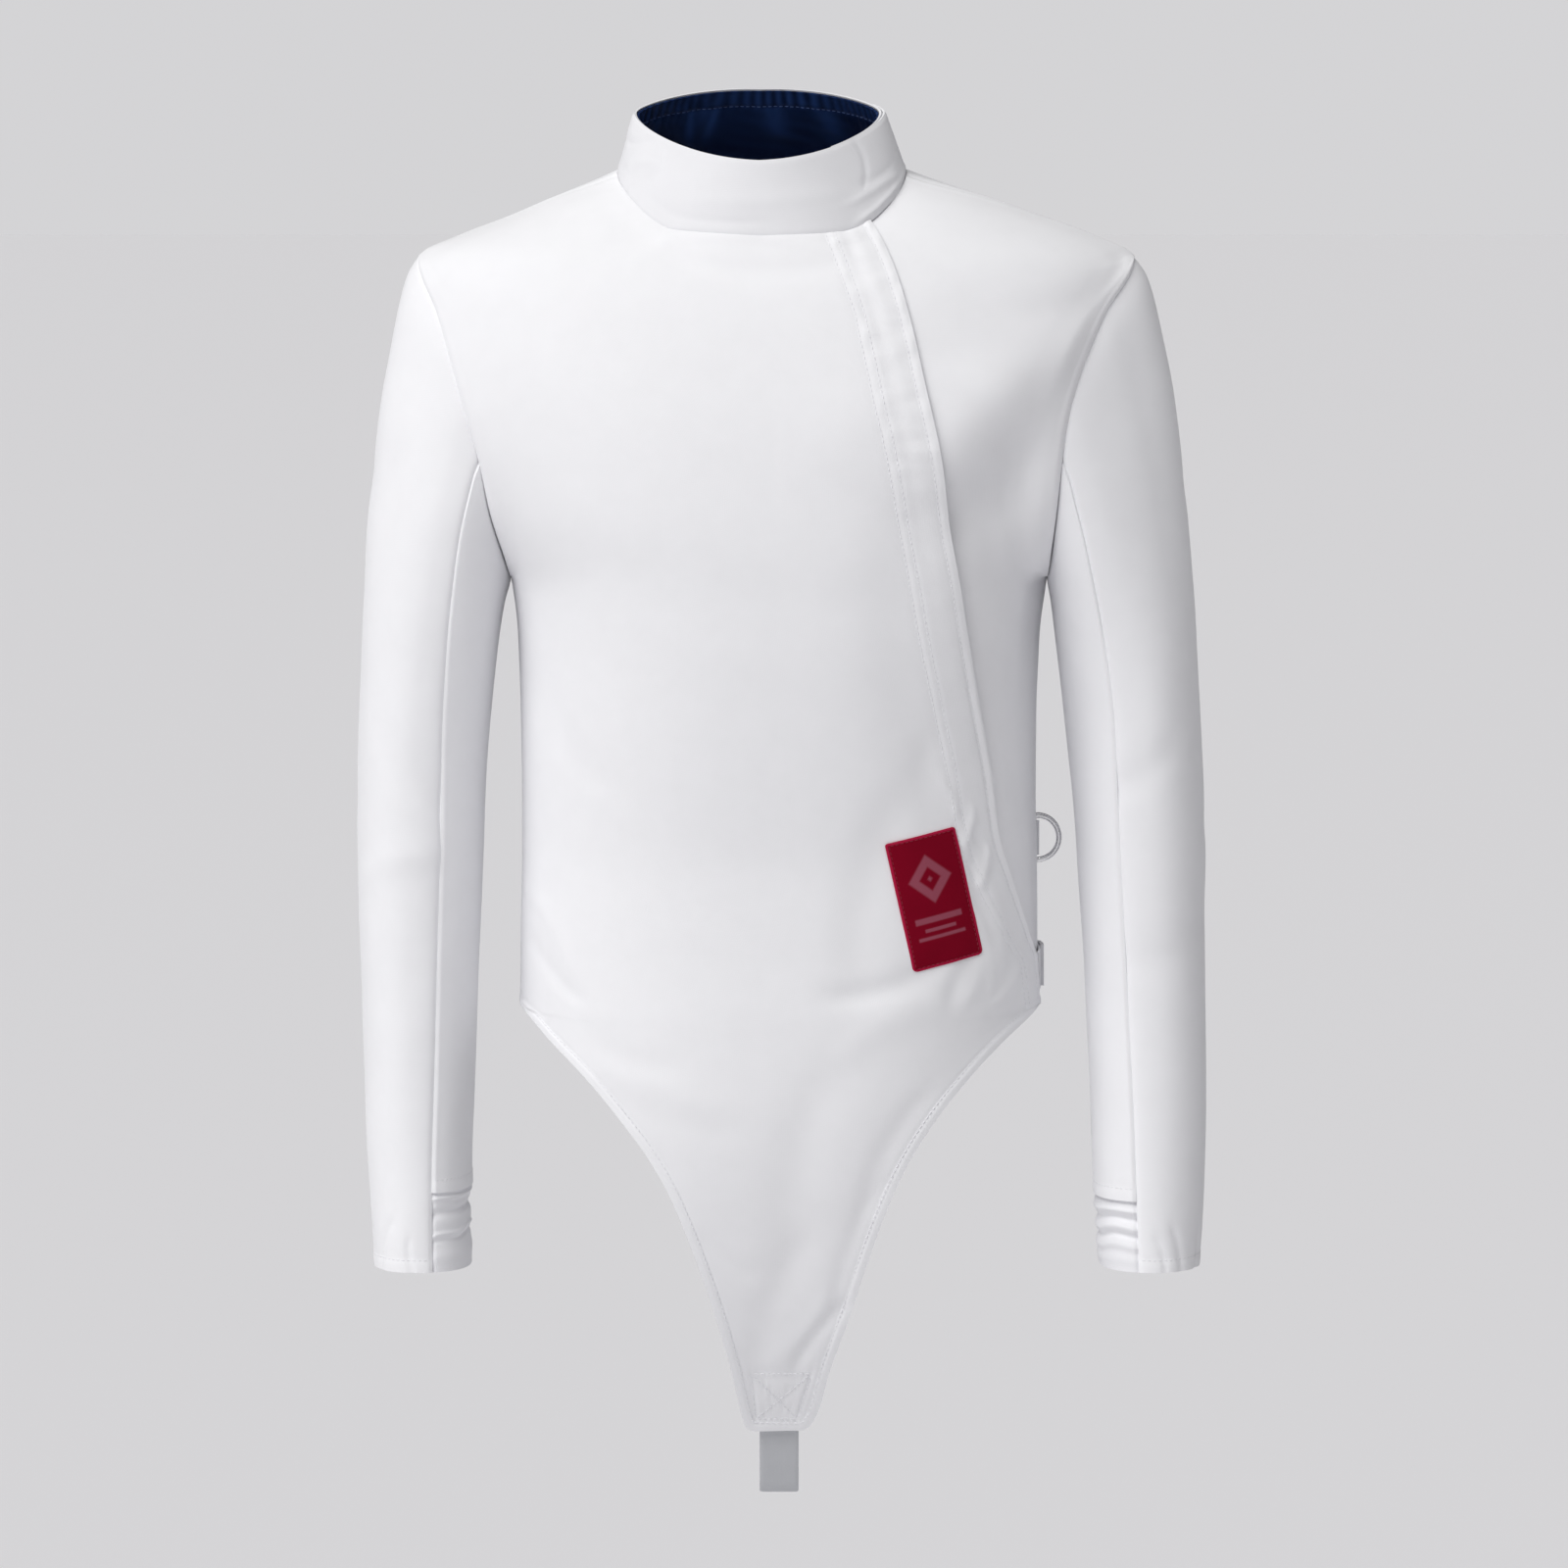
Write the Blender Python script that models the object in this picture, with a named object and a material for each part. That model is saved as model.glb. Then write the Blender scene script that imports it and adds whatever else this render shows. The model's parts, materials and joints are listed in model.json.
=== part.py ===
"""Fencing jacket, filled out with no wearer: panels, two-piece sleeves, wrapped collar, crotch strap.

The wearer's left is +X, the front faces -Y and +Z is up. The origin is the middle of the
shoulders, where the wearer carries the jacket. Each cut piece is a closed cloth wall made
from a surface function of two parameters. Metres throughout, angles in degrees.
"""

import math

import bmesh
import bpy
import numpy as np

# Cloth and seams
CLOTH = 0.0018
COLLAR_CLOTH = 0.0020
LINING_CLOTH = 0.0008
BAND_CLOTH = 0.0010
LABEL_CLOTH = 0.0008
SEAM_GAP = 0.0003
SEAM_PULL = SEAM_GAP / 2
LAP_STEP = CLOTH + SEAM_GAP
MITRE_LIMIT = 0.62

# Heights that divide the body: tongue tip, hip corner, armpit, shoulder tip
TIP_HEIGHT = -0.7743
HIP_HEIGHT = -0.5030
ARMPIT_HEIGHT = -0.2290
SHOULDER_HEIGHT = -0.0255
CENTRE_CHEST_HEIGHT = -0.0550
BACK_HEM_DIP = 0.017

# Body sections: how far the side, or the armhole seam, lies out and how deep the section is.
BODY_COLUMNS = ("height", "reach_right", "reach_left", "front_depth", "back_depth", "power")
BODY = (
    (-0.7800, 0.1665, 0.1665, 0.056, 0.110, 2.4),
    (-0.7400, 0.1665, 0.1665, 0.073, 0.112, 2.4),
    (-0.7000, 0.1665, 0.1665, 0.088, 0.114, 2.4),
    (-0.6500, 0.1665, 0.1665, 0.103, 0.115, 2.4),
    (-0.6000, 0.1665, 0.1665, 0.113, 0.115, 2.4),
    (-0.5500, 0.1665, 0.1665, 0.118, 0.114, 2.4),
    (-0.5030, 0.1664, 0.1665, 0.119, 0.109, 2.4),
    (-0.4600, 0.1660, 0.1662, 0.118, 0.102, 2.4),
    (-0.4144, 0.1650, 0.1658, 0.118, 0.097, 2.4),
    (-0.3637, 0.1648, 0.1648, 0.121, 0.098, 2.4),
    (-0.3131, 0.1655, 0.1650, 0.125, 0.103, 2.4),
    (-0.2878, 0.1663, 0.1658, 0.127, 0.106, 2.4),
    (-0.2626, 0.1672, 0.1670, 0.128, 0.109, 2.4),
    (-0.2290, 0.1715, 0.1712, 0.129, 0.112, 2.4),
    (-0.1841, 0.1832, 0.1758, 0.128, 0.115, 2.4),
    (-0.1552, 0.1888, 0.1785, 0.126, 0.116, 2.4),
    (-0.1272, 0.1965, 0.1823, 0.121, 0.114, 2.4),
    (-0.0965, 0.2056, 0.1909, 0.114, 0.109, 2.3),
    (-0.0601, 0.2167, 0.2069, 0.104, 0.101, 2.2),
    (-0.0255, 0.2300, 0.2265, 0.087, 0.090, 2.1),
    (-0.0119, 0.2037, 0.2006, 0.079, 0.084, 2.0),
    (0.0006, 0.1718, 0.1674, 0.071, 0.078, 2.0),
    (0.0131, 0.1436, 0.1330, 0.061, 0.072, 2.0),
    (0.0255, 0.1136, 0.0949, 0.050, 0.065, 2.0),
    (0.0360, 0.0910, 0.0690, 0.041, 0.058, 2.0),
    (0.0500, 0.0600, 0.0400, 0.030, 0.048, 2.0),
)
# The neck lies a little to the wearer's right of the body's middle.
NECK_MIDDLE = -0.0110
MIDDLE_COLUMNS = ("height", "middle")
MIDDLE = ((-0.0255, 0.0), (-0.0119, -0.001), (0.0006, -0.0022), (0.0131, -0.0053), (0.0255, -0.0094),
          (0.0360, -0.0110), (0.0500, -0.0110))

# Armhole: how far round the body its front and back edges come at half height
ARMHOLE_TURN = 32.0
SHOULDER_SEAM_LEAD = 5.0

# Neckline, from centre front to centre back, and the collar's top edge, a tilted oval
NECK_HALF_WIDTH = 0.0923
NECK_FRONT_DEPTH = 0.078
NECK_BACK_DEPTH = 0.058
NECK_POWER = 2.2
NECK_COLUMNS = ("angle", "height")
NECK = ((0, -0.0105), (35, -0.0065), (48, 0.0010), (58, 0.0090), (72, 0.0190), (90, 0.0285),
        (120, 0.0330), (150, 0.0352), (180, 0.0360))
COLLAR_TOP_MIDDLE = -0.0124
COLLAR_TOP_HALF_WIDTH = 0.0802
COLLAR_TOP_FRONT = 0.065
COLLAR_TOP_BACK = 0.041
COLLAR_TOP_HEIGHT = 0.0641
COLLAR_TILT = 0.417
COLLAR_ROLL = 0.034
COLLAR_RIM_ROUND = 0.55
COLLAR_RIGHT_RISE = 0.0050

# The collar runs round once and laps over itself: under end to tab end, in degrees from
# centre front by way of the wearer's left and the back.
COLLAR_START = 36.0
COLLAR_END = 475.0
COLLAR_STEP = 8.5
COLLAR_UNDER = COLLAR_CLOTH + SEAM_GAP
COLLAR_UNDER_FLAT = 125.0
COLLAR_UNDER_END = 172.0
TAB_COLUMNS = ("angle", "lift")
TAB = ((36, 0.0), (394, 0.0), (405, 0.0022), (413, 0.0065), (430, 0.0040), (450, 0.0018), (475, 0.0015))
LINING_START = 40.0
LINING_END = 389.0
LINING_FOOT = 0.10
LINING_HEAD = 0.985
# Behind the neck the lining goes on below the seam as a facing.
FACING_START = 105.0
FACING_END = 255.0
FACING_EASE = 20.0
FACING_FOOT = -0.38

# Leg cut of the tongue, from the hip corner to the tip
LEG_COLUMNS = ("height", "right", "left")
LEG = (
    (-0.7743, 0.0207, 0.0185),
    (-0.7608, 0.0244, 0.0251),
    (-0.7338, 0.0300, 0.0319),
    (-0.6939, 0.0405, 0.0449),
    (-0.6543, 0.0534, 0.0572),
    (-0.6152, 0.0688, 0.0714),
    (-0.5899, 0.0829, 0.0837),
    (-0.5645, 0.1020, 0.1003),
    (-0.5408, 0.1226, 0.1202),
    (-0.5185, 0.1470, 0.1434),
    (-0.5085, 0.1580, 0.1575),
    (-0.5030, 0.1662, 0.1660),
)

# Edge of the lap that closes the front, from the left hip to the collar
LAP_COLUMNS = ("height", "reach")
LAP = ((-0.5030, 0.1660), (-0.4735, 0.1645), (-0.4551, 0.1599), (-0.4206, 0.1496), (-0.3875, 0.1397),
       (-0.3493, 0.1344), (-0.3046, 0.1265), (-0.2605, 0.1187), (-0.2044, 0.1103), (-0.1552, 0.1022),
       (-0.1065, 0.0918), (-0.0641, 0.0827), (-0.0280, 0.0718), (0.0008, 0.0568), (0.0300, 0.0300))
BAND_WIDTH = 0.028
LAP_EASE = 0.045
LAP_FLAT = 0.040
LAP_FADE = 0.075

# Sleeves: distance of the outer and inner side from the middle, at each height
SLEEVE_COLUMNS = ("height", "outer_right", "outer_left", "inner_right", "inner_left")
SLEEVE = (
    (-0.6715, 0.2602, 0.2697, 0.1965, 0.2047),
    (-0.6426, 0.2619, 0.2720, 0.1972, 0.2028),
    (-0.6042, 0.2642, 0.2737, 0.1973, 0.2012),
    (-0.5645, 0.2660, 0.2745, 0.1960, 0.2000),
    (-0.4881, 0.2683, 0.2742, 0.1937, 0.1963),
    (-0.4130, 0.2706, 0.2738, 0.1903, 0.1915),
    (-0.3620, 0.2704, 0.2722, 0.1880, 0.1875),
    (-0.3110, 0.2692, 0.2700, 0.1840, 0.1823),
    (-0.2735, 0.2676, 0.2678, 0.1802, 0.1780),
    (-0.2485, 0.2662, 0.2662, 0.1764, 0.1747),
    (-0.2290, 0.2652, 0.2645, 0.1715, 0.1712),
    (-0.2115, 0.2643, 0.2631, 0.1700, 0.1700),
    (-0.1613, 0.2596, 0.2584, 0.1700, 0.1700),
    (-0.1113, 0.2537, 0.2519, 0.1700, 0.1700),
    (-0.0740, 0.2460, 0.2442, 0.1700, 0.1700),
    (-0.0490, 0.2402, 0.2384, 0.1700, 0.1700),
    (-0.0365, 0.2364, 0.2340, 0.1700, 0.1700),
    (-0.0255, 0.2300, 0.2265, 0.1700, 0.1700),
)
# Sleeve shape along its length: half depth, forward bend and where the two seams run round it
ARM_COLUMNS = ("along", "half_depth", "forward", "front_seam", "back_seam")
ARM = (
    (0.00, 0.0640, 0.000, 105.0, 255.0),
    (0.15, 0.0665, 0.000, 106.0, 253.0),
    (0.30, 0.0660, 0.001, 108.0, 251.0),
    (0.50, 0.0605, 0.006, 111.0, 250.0),
    (0.70, 0.0530, 0.014, 109.0, 250.0),
    (0.85, 0.0470, 0.022, 106.0, 250.0),
    (1.00, 0.0420, 0.030, 102.0, 250.0),
)
CUFF_HEIGHT = -0.6695
SLEEVE_POWER = 2.2
HEAD_BLEND = 0.35
UNDER_HEM_RIGHT = -0.6185
UNDER_HEM_LEFT = -0.6240

# Cuff elastic: three soft folds under the sleeve hem
ELASTIC_CLOTH = 0.0014
ELASTIC_SET_BACK = 0.0016
FOLD_COLUMNS = ("along", "rise")
FOLDS = ((0.00, -0.0004), (0.14, 0.0010), (0.26, -0.0012), (0.38, 0.0008), (0.50, -0.0012),
         (0.62, 0.0010), (0.72, -0.0008), (0.84, 0.0004), (1.00, 0.0002))

# Label
LABEL_WIDTH = 0.045
LABEL_LENGTH = 0.084
LABEL_MIDDLE_X = 0.0975
LABEL_MIDDLE_HEIGHT = -0.4262
LABEL_TURN = 12.5
LABEL_SEAT = 0.0005

# Crotch strap: 25 mm elastic from behind the tongue's tip round to the inside of the back hem
STRAP_WIDTH = 0.025
STRAP_CLOTH = 0.0015
STRAP_SEAT = 0.0014
STRAP_TOP = -0.7350
STRAP_BACK_TOP = -0.4800
STRAP_STEPS = 40
# Free part of the strap, as places in depth and height
STRAP_FREE = ((-0.0440, -0.8000), (-0.0365, -0.8150), (-0.0290, -0.8190), (-0.0200, -0.8130),
              (0.0050, -0.7770), (0.0450, -0.6980), (0.0800, -0.6120), (0.1000, -0.5500))

# Hip tab and its slider, at the wearer's left
TAB_WIDTH = 0.025
TAB_CLOTH = 0.0012
TAB_SEAT = 0.0008
TAB_MIDDLE_HEIGHT = -0.4815
TAB_END_ANGLE = 122.0
SLIDER_HEIGHT = 0.027
SLIDER_CLOTH = 0.0022
SLIDER_BAR = 0.0035
SLIDER_WINDOW = 0.0048
SLIDER_START_ANGLE = 91.5

# D-ring and the webbing loop that holds it, on the back panel at the wearer's left
RING_WIRE = 0.0019
RING_HALF_HEIGHT = 0.0146
RING_DEPTH = 0.0162
RING_CORNER = 0.0020
RING_HEIGHT = -0.4017
RING_SURFACE_Y = 0.0295
LOOP_CLOTH = 0.0012
LOOP_WIDTH = 0.022
LOOP_TAIL = 0.030
LOOP_EASE = 0.010

# Mesh density
TONGUE_ROWS = 12
TONGUE_CLOSING = 2.0
SIDE_ROWS = 9
ARMHOLE_ROWS = 12
SHOULDER_ROWS = 5
FRONT_COLUMNS = 17
BAND_COLUMNS = 2
UNDER_COLUMNS = 4
BACK_COLUMNS = 18
SLEEVE_STATIONS = 17
COLLAR_ROWS = 3

# Small steps for outward directions, and the way edge strips are split
STEP_ROUND = 0.4
STEP_HEIGHT = 0.001
STEP_ALONG = 0.03
DIAGONAL_SIDE = np.array([0.21, 0.37, 1.0])

WHITE = (0.86, 0.86, 0.89)
NAVY = (0.004, 0.012, 0.055)
RED = (0.22, 0.003, 0.016)
GREY = (0.44, 0.45, 0.48)
RIGHT = -1.0
LEFT = 1.0


def column(rows, names, name):
    """One named column of a table."""
    return np.array([row[names.index(name)] for row in rows], dtype=float)


def smooth(rows, names, name, at):
    """A smooth monotone curve through one column of a table, read at its first column's values."""
    x, y = column(rows, names, names[0]), column(rows, names, name)
    at = np.clip(np.asarray(at, dtype=float), x[0], x[-1])
    width = np.diff(x)
    rise = np.diff(y) / width
    slope = np.empty_like(y)
    slope[0], slope[-1] = rise[0], rise[-1]
    before, after = rise[:-1], rise[1:]
    level = before * after <= 0
    slope[1:-1] = np.where(level, 0.0, 2 * before * after / np.where(level, 1.0, before + after))
    k = np.clip(np.searchsorted(x, at, side="right") - 1, 0, len(x) - 2)
    u = (at - x[k]) / width[k]
    return ((1 + 2 * u) * (1 - u) ** 2 * y[k] + u * (1 - u) ** 2 * width[k] * slope[k]
            + u * u * (3 - 2 * u) * y[k + 1] + u * u * (u - 1) * width[k] * slope[k + 1])


def ease(u):
    """0 to 1 with a level start and end."""
    u = np.clip(u, 0.0, 1.0)
    return u * u * (3 - 2 * u)


def power_sine(angle, power):
    s = np.sin(np.radians(angle))
    return np.sign(s) * np.abs(s) ** (2 / power)


def power_cosine(angle, power):
    c = np.cos(np.radians(angle))
    return np.sign(c) * np.abs(c) ** (2 / power)


def armhole_turn(height):
    """How many degrees short of the side the armhole edge stands at a height."""
    middle = (SHOULDER_HEIGHT + ARMPIT_HEIGHT) / 2
    half = (SHOULDER_HEIGHT - ARMPIT_HEIGHT) / 2
    level = np.clip((height - middle) / half, -1, 1)
    return ARMHOLE_TURN * np.sqrt(1 - level * level)


def section_sizes(height, left):
    """Middle, half width, power of the body's level section on one side."""
    middle = smooth(MIDDLE, MIDDLE_COLUMNS, "middle", height)
    power = smooth(BODY, BODY_COLUMNS, "power", height)
    reach = np.where(left, smooth(BODY, BODY_COLUMNS, "reach_left", height) - middle,
                     smooth(BODY, BODY_COLUMNS, "reach_right", height) + middle)
    return middle, reach / np.cos(np.radians(armhole_turn(height))) ** (2 / power), power


def section(angle, height):
    """Point on the body at a level height; 0 is centre front and +90 the wearer's left side."""
    middle, half_width, power = section_sizes(height, np.sin(np.radians(angle)) > 0)
    forward = np.cos(np.radians(angle)) >= 0
    depth = np.where(forward, smooth(BODY, BODY_COLUMNS, "front_depth", height),
                     smooth(BODY, BODY_COLUMNS, "back_depth", height))
    x = middle + half_width * power_sine(angle, power)
    return np.stack([x, -depth * power_cosine(angle, power), height + 0 * x], axis=-1)


def shoulder_height(x, y):
    """Height of the shoulder surface over a place, found by halving."""
    low, high = np.full_like(x, -0.14), np.full_like(x, 0.05)
    for _ in range(30):
        mid = (low + high) / 2
        middle = smooth(MIDDLE, MIDDLE_COLUMNS, "middle", mid)
        middle, half_width, power = section_sizes(mid, x > middle)
        depth = np.where(y < 0, smooth(BODY, BODY_COLUMNS, "front_depth", mid),
                         smooth(BODY, BODY_COLUMNS, "back_depth", mid))
        outside = np.abs((x - middle) / half_width) ** power + np.abs(y / depth) ** power > 1
        high = np.where(outside, mid, high)
        low = np.where(outside, low, mid)
    return (low + high) / 2


def neck_turn(angle):
    """Angle from centre front to centre back, 0 to 180, for any angle round the neck."""
    return np.abs((np.asarray(angle, dtype=float) + 180) % 360 - 180)


def neckline(angle):
    """Point on the neck seam."""
    cosine = power_cosine(angle, NECK_POWER)
    depth = np.where(cosine >= 0, NECK_FRONT_DEPTH, NECK_BACK_DEPTH)
    x = NECK_MIDDLE + NECK_HALF_WIDTH * power_sine(angle, NECK_POWER)
    return np.stack([x, -depth * cosine, smooth(NECK, NECK_COLUMNS, "height", neck_turn(angle))], axis=-1)


def shoulder(along, angle):
    """Point between the neckline, along 0, and a loop through the shoulder tips, along 1."""
    neck = neckline(angle)
    across = np.minimum(neck_turn(angle), 180 - neck_turn(angle)) / 90
    tip = section(angle, SHOULDER_HEIGHT + (CENTRE_CHEST_HEIGHT - SHOULDER_HEIGHT) * row_sag(across))
    place = neck + (tip - neck) * along[..., None]
    place[..., 2] = shoulder_height(place[..., 0], place[..., 1])
    place[..., 2] += (neck[..., 2] - shoulder_height(neck[..., 0], neck[..., 1])) * (1 - along) ** 2
    place[..., 2] += (tip[..., 2] - shoulder_height(tip[..., 0], tip[..., 1])) * along ** 4
    return place


def row_sag(across):
    """Share of a row's drop at a place across it: all at the centre, none and level at the seam."""
    return (1 + np.cos(np.pi * np.clip(across, 0, 1))) / 2


def body(up, angle):
    """The jacket's outer surface. Up runs 0-1 over the tongue, 1-2 up the side, 2-3 up the
    armhole and 3-4 over the shoulder to the neck; angle runs round from centre front."""
    up, angle = np.broadcast_arrays(np.asarray(up, dtype=float), np.asarray(angle, dtype=float))
    turn = neck_turn(angle)
    tongue = HIP_HEIGHT + (TIP_HEIGHT - HIP_HEIGHT) * np.clip(1 - up, 0, 1) ** TONGUE_CLOSING
    side = HIP_HEIGHT + (ARMPIT_HEIGHT - HIP_HEIGHT) * np.clip(up - 1, 0, 1)
    hem = side - np.where(turn > 90, BACK_HEM_DIP * np.clip(2 - up, 0, 1) ** 2 * ease((turn - 90) / 70), 0)
    round_armhole = 180 * (1 - np.clip(up - 2, 0, 1))
    middle = (SHOULDER_HEIGHT + ARMPIT_HEIGHT) / 2
    edge = middle + (SHOULDER_HEIGHT - middle) * np.cos(np.radians(round_armhole))
    centre = ARMPIT_HEIGHT + (CENTRE_CHEST_HEIGHT - ARMPIT_HEIGHT) * np.clip(up - 2, 0, 1)
    swing = ARMHOLE_TURN * np.sin(np.radians(round_armhole))
    across = np.where(turn <= 90, turn / (90 - swing), (180 - turn) / (90 - swing))
    armhole = edge + (centre - edge) * row_sag(across)
    height = np.where(up < 1, tongue, np.where(up <= 2, hem, armhole))
    level = section(angle, height)
    over = shoulder(np.clip(4 - up, 0, 1), angle)
    return np.where((up > 3)[..., None], over, level)


def section_normal(angle, height):
    """Outward direction of the body at a level height, from small steps round it and up it."""
    turn = section(angle + STEP_ROUND, height) - section(angle - STEP_ROUND, height)
    rise = section(angle, height + STEP_HEIGHT) - section(angle, height - STEP_HEIGHT)
    return unit(np.cross(turn, rise))


def body_normal(up, angle):
    """Outward direction of the body surface; the row through the shoulder tips shares two."""
    up, angle = np.broadcast_arrays(np.asarray(up, dtype=float), np.asarray(angle, dtype=float))
    side = section_normal(angle, body(np.minimum(up, 3), angle)[..., 2])
    along = np.clip(4 - up, 0, 1)
    near, far = np.clip(along - STEP_ALONG, 0, 1), np.clip(along + STEP_ALONG, 0, 1)
    turn = shoulder(along, angle + STEP_ROUND) - shoulder(along, angle - STEP_ROUND)
    over = unit(np.cross(turn, shoulder(near, angle) - shoulder(far, angle)))
    share = np.where(up > 3 + 1e-9, 1.0, np.where(up < 3 - 1e-9, 0.0, 0.5))[..., None]
    return unit(side * (1 - share) + over * share)


def unit(vectors):
    return vectors / np.maximum(np.linalg.norm(vectors, axis=-1, keepdims=True), 1e-12)


def edge_angle(up):
    """Angle of the seam that bounds the front: side seam, armhole, then shoulder seam."""
    up = np.asarray(up, dtype=float)
    swing = ARMHOLE_TURN * np.sin(np.radians(180 * (1 - np.clip(up - 2, 0, 1))))
    return 90 - np.where(up > 3, SHOULDER_SEAM_LEAD * (np.clip(up, 3, 4) - 3), swing)


def leg_angle(up, side):
    """Angle of the leg cut on one side, or of the seam above the hip."""
    up = np.asarray(up, dtype=float)
    height = HIP_HEIGHT + (TIP_HEIGHT - HIP_HEIGHT) * np.clip(1 - up, 0, 1) ** TONGUE_CLOSING
    reach = smooth(LEG, LEG_COLUMNS, "left" if side > 0 else "right", height)
    _, half_width, power = section_sizes(height, np.full(height.shape, side > 0))
    cut = np.degrees(np.arcsin(np.clip(reach / half_width, 0, 0.9995) ** (power / 2)))
    return np.where(up < 1, cut, edge_angle(up))


def lap_angle(up):
    """Angle of the lap's edge, found by halving where the surface meets the lap's line."""
    low, high = np.zeros_like(up), np.full_like(up, 86.0)
    for _ in range(30):
        mid = (low + high) / 2
        place = body(up, mid)
        beyond = place[..., 0] > smooth(LAP, LAP_COLUMNS, "reach", place[..., 2])
        high = np.where(beyond, mid, high)
        low = np.where(beyond, low, mid)
    return (low + high) / 2


def arc_angle(up, start, distance):
    """Angle reached from a start by going a distance towards centre front along the row."""
    share = np.linspace(0, 1, 61)
    found = []
    for row_up, row_start in zip(up, start):
        angles = row_start * (1 - share)
        places = body(row_up, angles)
        lengths = np.concatenate([[0], np.cumsum(np.linalg.norm(np.diff(places, axis=0), axis=1))])
        found.append(np.interp(distance, lengths, angles))
    return np.array(found)


def arc_between(up, first, last):
    """Length along a row between two angles, for grids of both."""
    share = np.linspace(0, 1, 17)[:, None, None]
    places = body(up[None], first[None] * (1 - share) + last[None] * share)
    return np.linalg.norm(np.diff(places, axis=0), axis=-1).sum(axis=0)


def grid_normals(grid, closed=False):
    """Outward directions of a grid whose columns turn with the body angle and whose rows rise."""
    if closed:
        turn = np.roll(grid, -1, axis=1) - np.roll(grid, 1, axis=1)
    else:
        turn = np.gradient(grid, axis=1)
    return unit(np.cross(turn, np.gradient(grid, axis=0)))


def mitre(first, second, thickness):
    """Shared step from the outer to the inner side at a seam between two directions."""
    shared = unit(first + second)
    lean = np.sum(shared * first, axis=-1, keepdims=True)
    return shared * thickness / np.maximum(lean, MITRE_LIMIT)


def pull(outer, inner, edges):
    """Draw the named edges of a wall back by half the seam gap."""
    for edge in edges:
        here, there = {"first_row": ((0,), (1,)), "last_row": ((-1,), (-2,)),
                       "first_column": ((slice(None), 0), (slice(None), 1)),
                       "last_column": ((slice(None), -1), (slice(None), -2))}[edge]
        shift = SEAM_PULL * unit(outer[there] - outer[here])
        outer[here] += shift
        inner[here] += shift


def solid(name, outer, inner, colour, rough, metal=0.0, holes=(), smooth_angle=40.0):
    """Closed wall between two grids of points; holes names cells, row and column, left open.
    The edge strips are split by a rule of place, so that both sides of a seam split alike."""
    rows, columns = outer.shape[:2]
    count = rows * columns
    kept = {(r, c) for r in range(rows - 1) for c in range(columns - 1)} - set(holes)
    faces = []

    def index(row, col, layer):
        return layer * count + row * columns + col

    for r, c in sorted(kept):
        a, b, d, e = (r, c), (r, c + 1), (r + 1, c + 1), (r + 1, c)
        faces += [[index(*p, 0) for p in (a, b, d)], [index(*p, 0) for p in (a, d, e)]]
        faces += [[index(*p, 1) for p in (a, d, b)], [index(*p, 1) for p in (a, e, d)]]
        for p, q, neighbour in ((b, a, (r - 1, c)), (d, b, (r, c + 1)), (e, d, (r + 1, c)), (a, e, (r, c - 1))):
            if neighbour in kept:
                continue
            p_out, q_out, q_in, p_in = index(*p, 0), index(*q, 0), index(*q, 1), index(*p, 1)
            if np.dot(outer[p] - outer[q], DIAGONAL_SIDE) > 0:
                faces += [[p_out, q_out, q_in], [p_out, q_in, p_in]]
            else:
                faces += [[p_out, q_out, p_in], [q_out, q_in, p_in]]
    mesh = bpy.data.meshes.new(name)
    points = np.concatenate([outer.reshape(-1, 3), inner.reshape(-1, 3)])
    mesh.from_pydata(points.tolist(), [], faces)
    return finish(name, mesh, colour, rough, metal, smooth_angle)


def finish(name, mesh, colour, rough, metal, smooth_angle):
    """Tidy the mesh, face it outwards, shade it smooth and give it its own material."""
    shape = bmesh.new()
    shape.from_mesh(mesh)
    bmesh.ops.delete(shape, geom=[v for v in shape.verts if not v.link_faces], context="VERTS")
    bmesh.ops.recalc_face_normals(shape, faces=shape.faces)
    if shape.calc_volume(signed=True) < 0:
        bmesh.ops.reverse_faces(shape, faces=shape.faces)
    shape.to_mesh(mesh)
    shape.free()
    mesh.shade_smooth()
    mesh.set_sharp_from_angle(angle=math.radians(smooth_angle))
    material = bpy.data.materials.new(name)
    material.use_nodes = True
    shader = material.node_tree.nodes["Principled BSDF"]
    shader.inputs["Base Color"].default_value = (*colour, 1.0)
    shader.inputs["Roughness"].default_value = rough
    shader.inputs["Metallic"].default_value = metal
    mesh.materials.append(material)
    made = bpy.data.objects.new(name, mesh)
    bpy.context.scene.collection.objects.link(made)
    return made


def body_rows(first, last):
    """Row places between two whole numbers of the up parameter."""
    counts = {0: TONGUE_ROWS, 1: SIDE_ROWS, 2: ARMHOLE_ROWS, 3: SHOULDER_ROWS}
    rows = [np.linspace(zone, zone + 1, counts[zone], endpoint=False) for zone in range(first, last)]
    return np.concatenate(rows + [[float(last)]])


def ribbon(name, path, across, half_width, half_cloth, colour, rough):
    """Flat webbing along a path, its width along one direction and its cloth across the path."""
    side = unit(np.cross(np.gradient(path, axis=0), across))
    edge = np.array([-half_width, half_width])[None, :, None] * across
    outer = path[:, None, :] + side[:, None, :] * half_cloth + edge
    inner = path[:, None, :] - side[:, None, :] * half_cloth + edge
    return solid(name, outer, inner, colour, rough)


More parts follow.
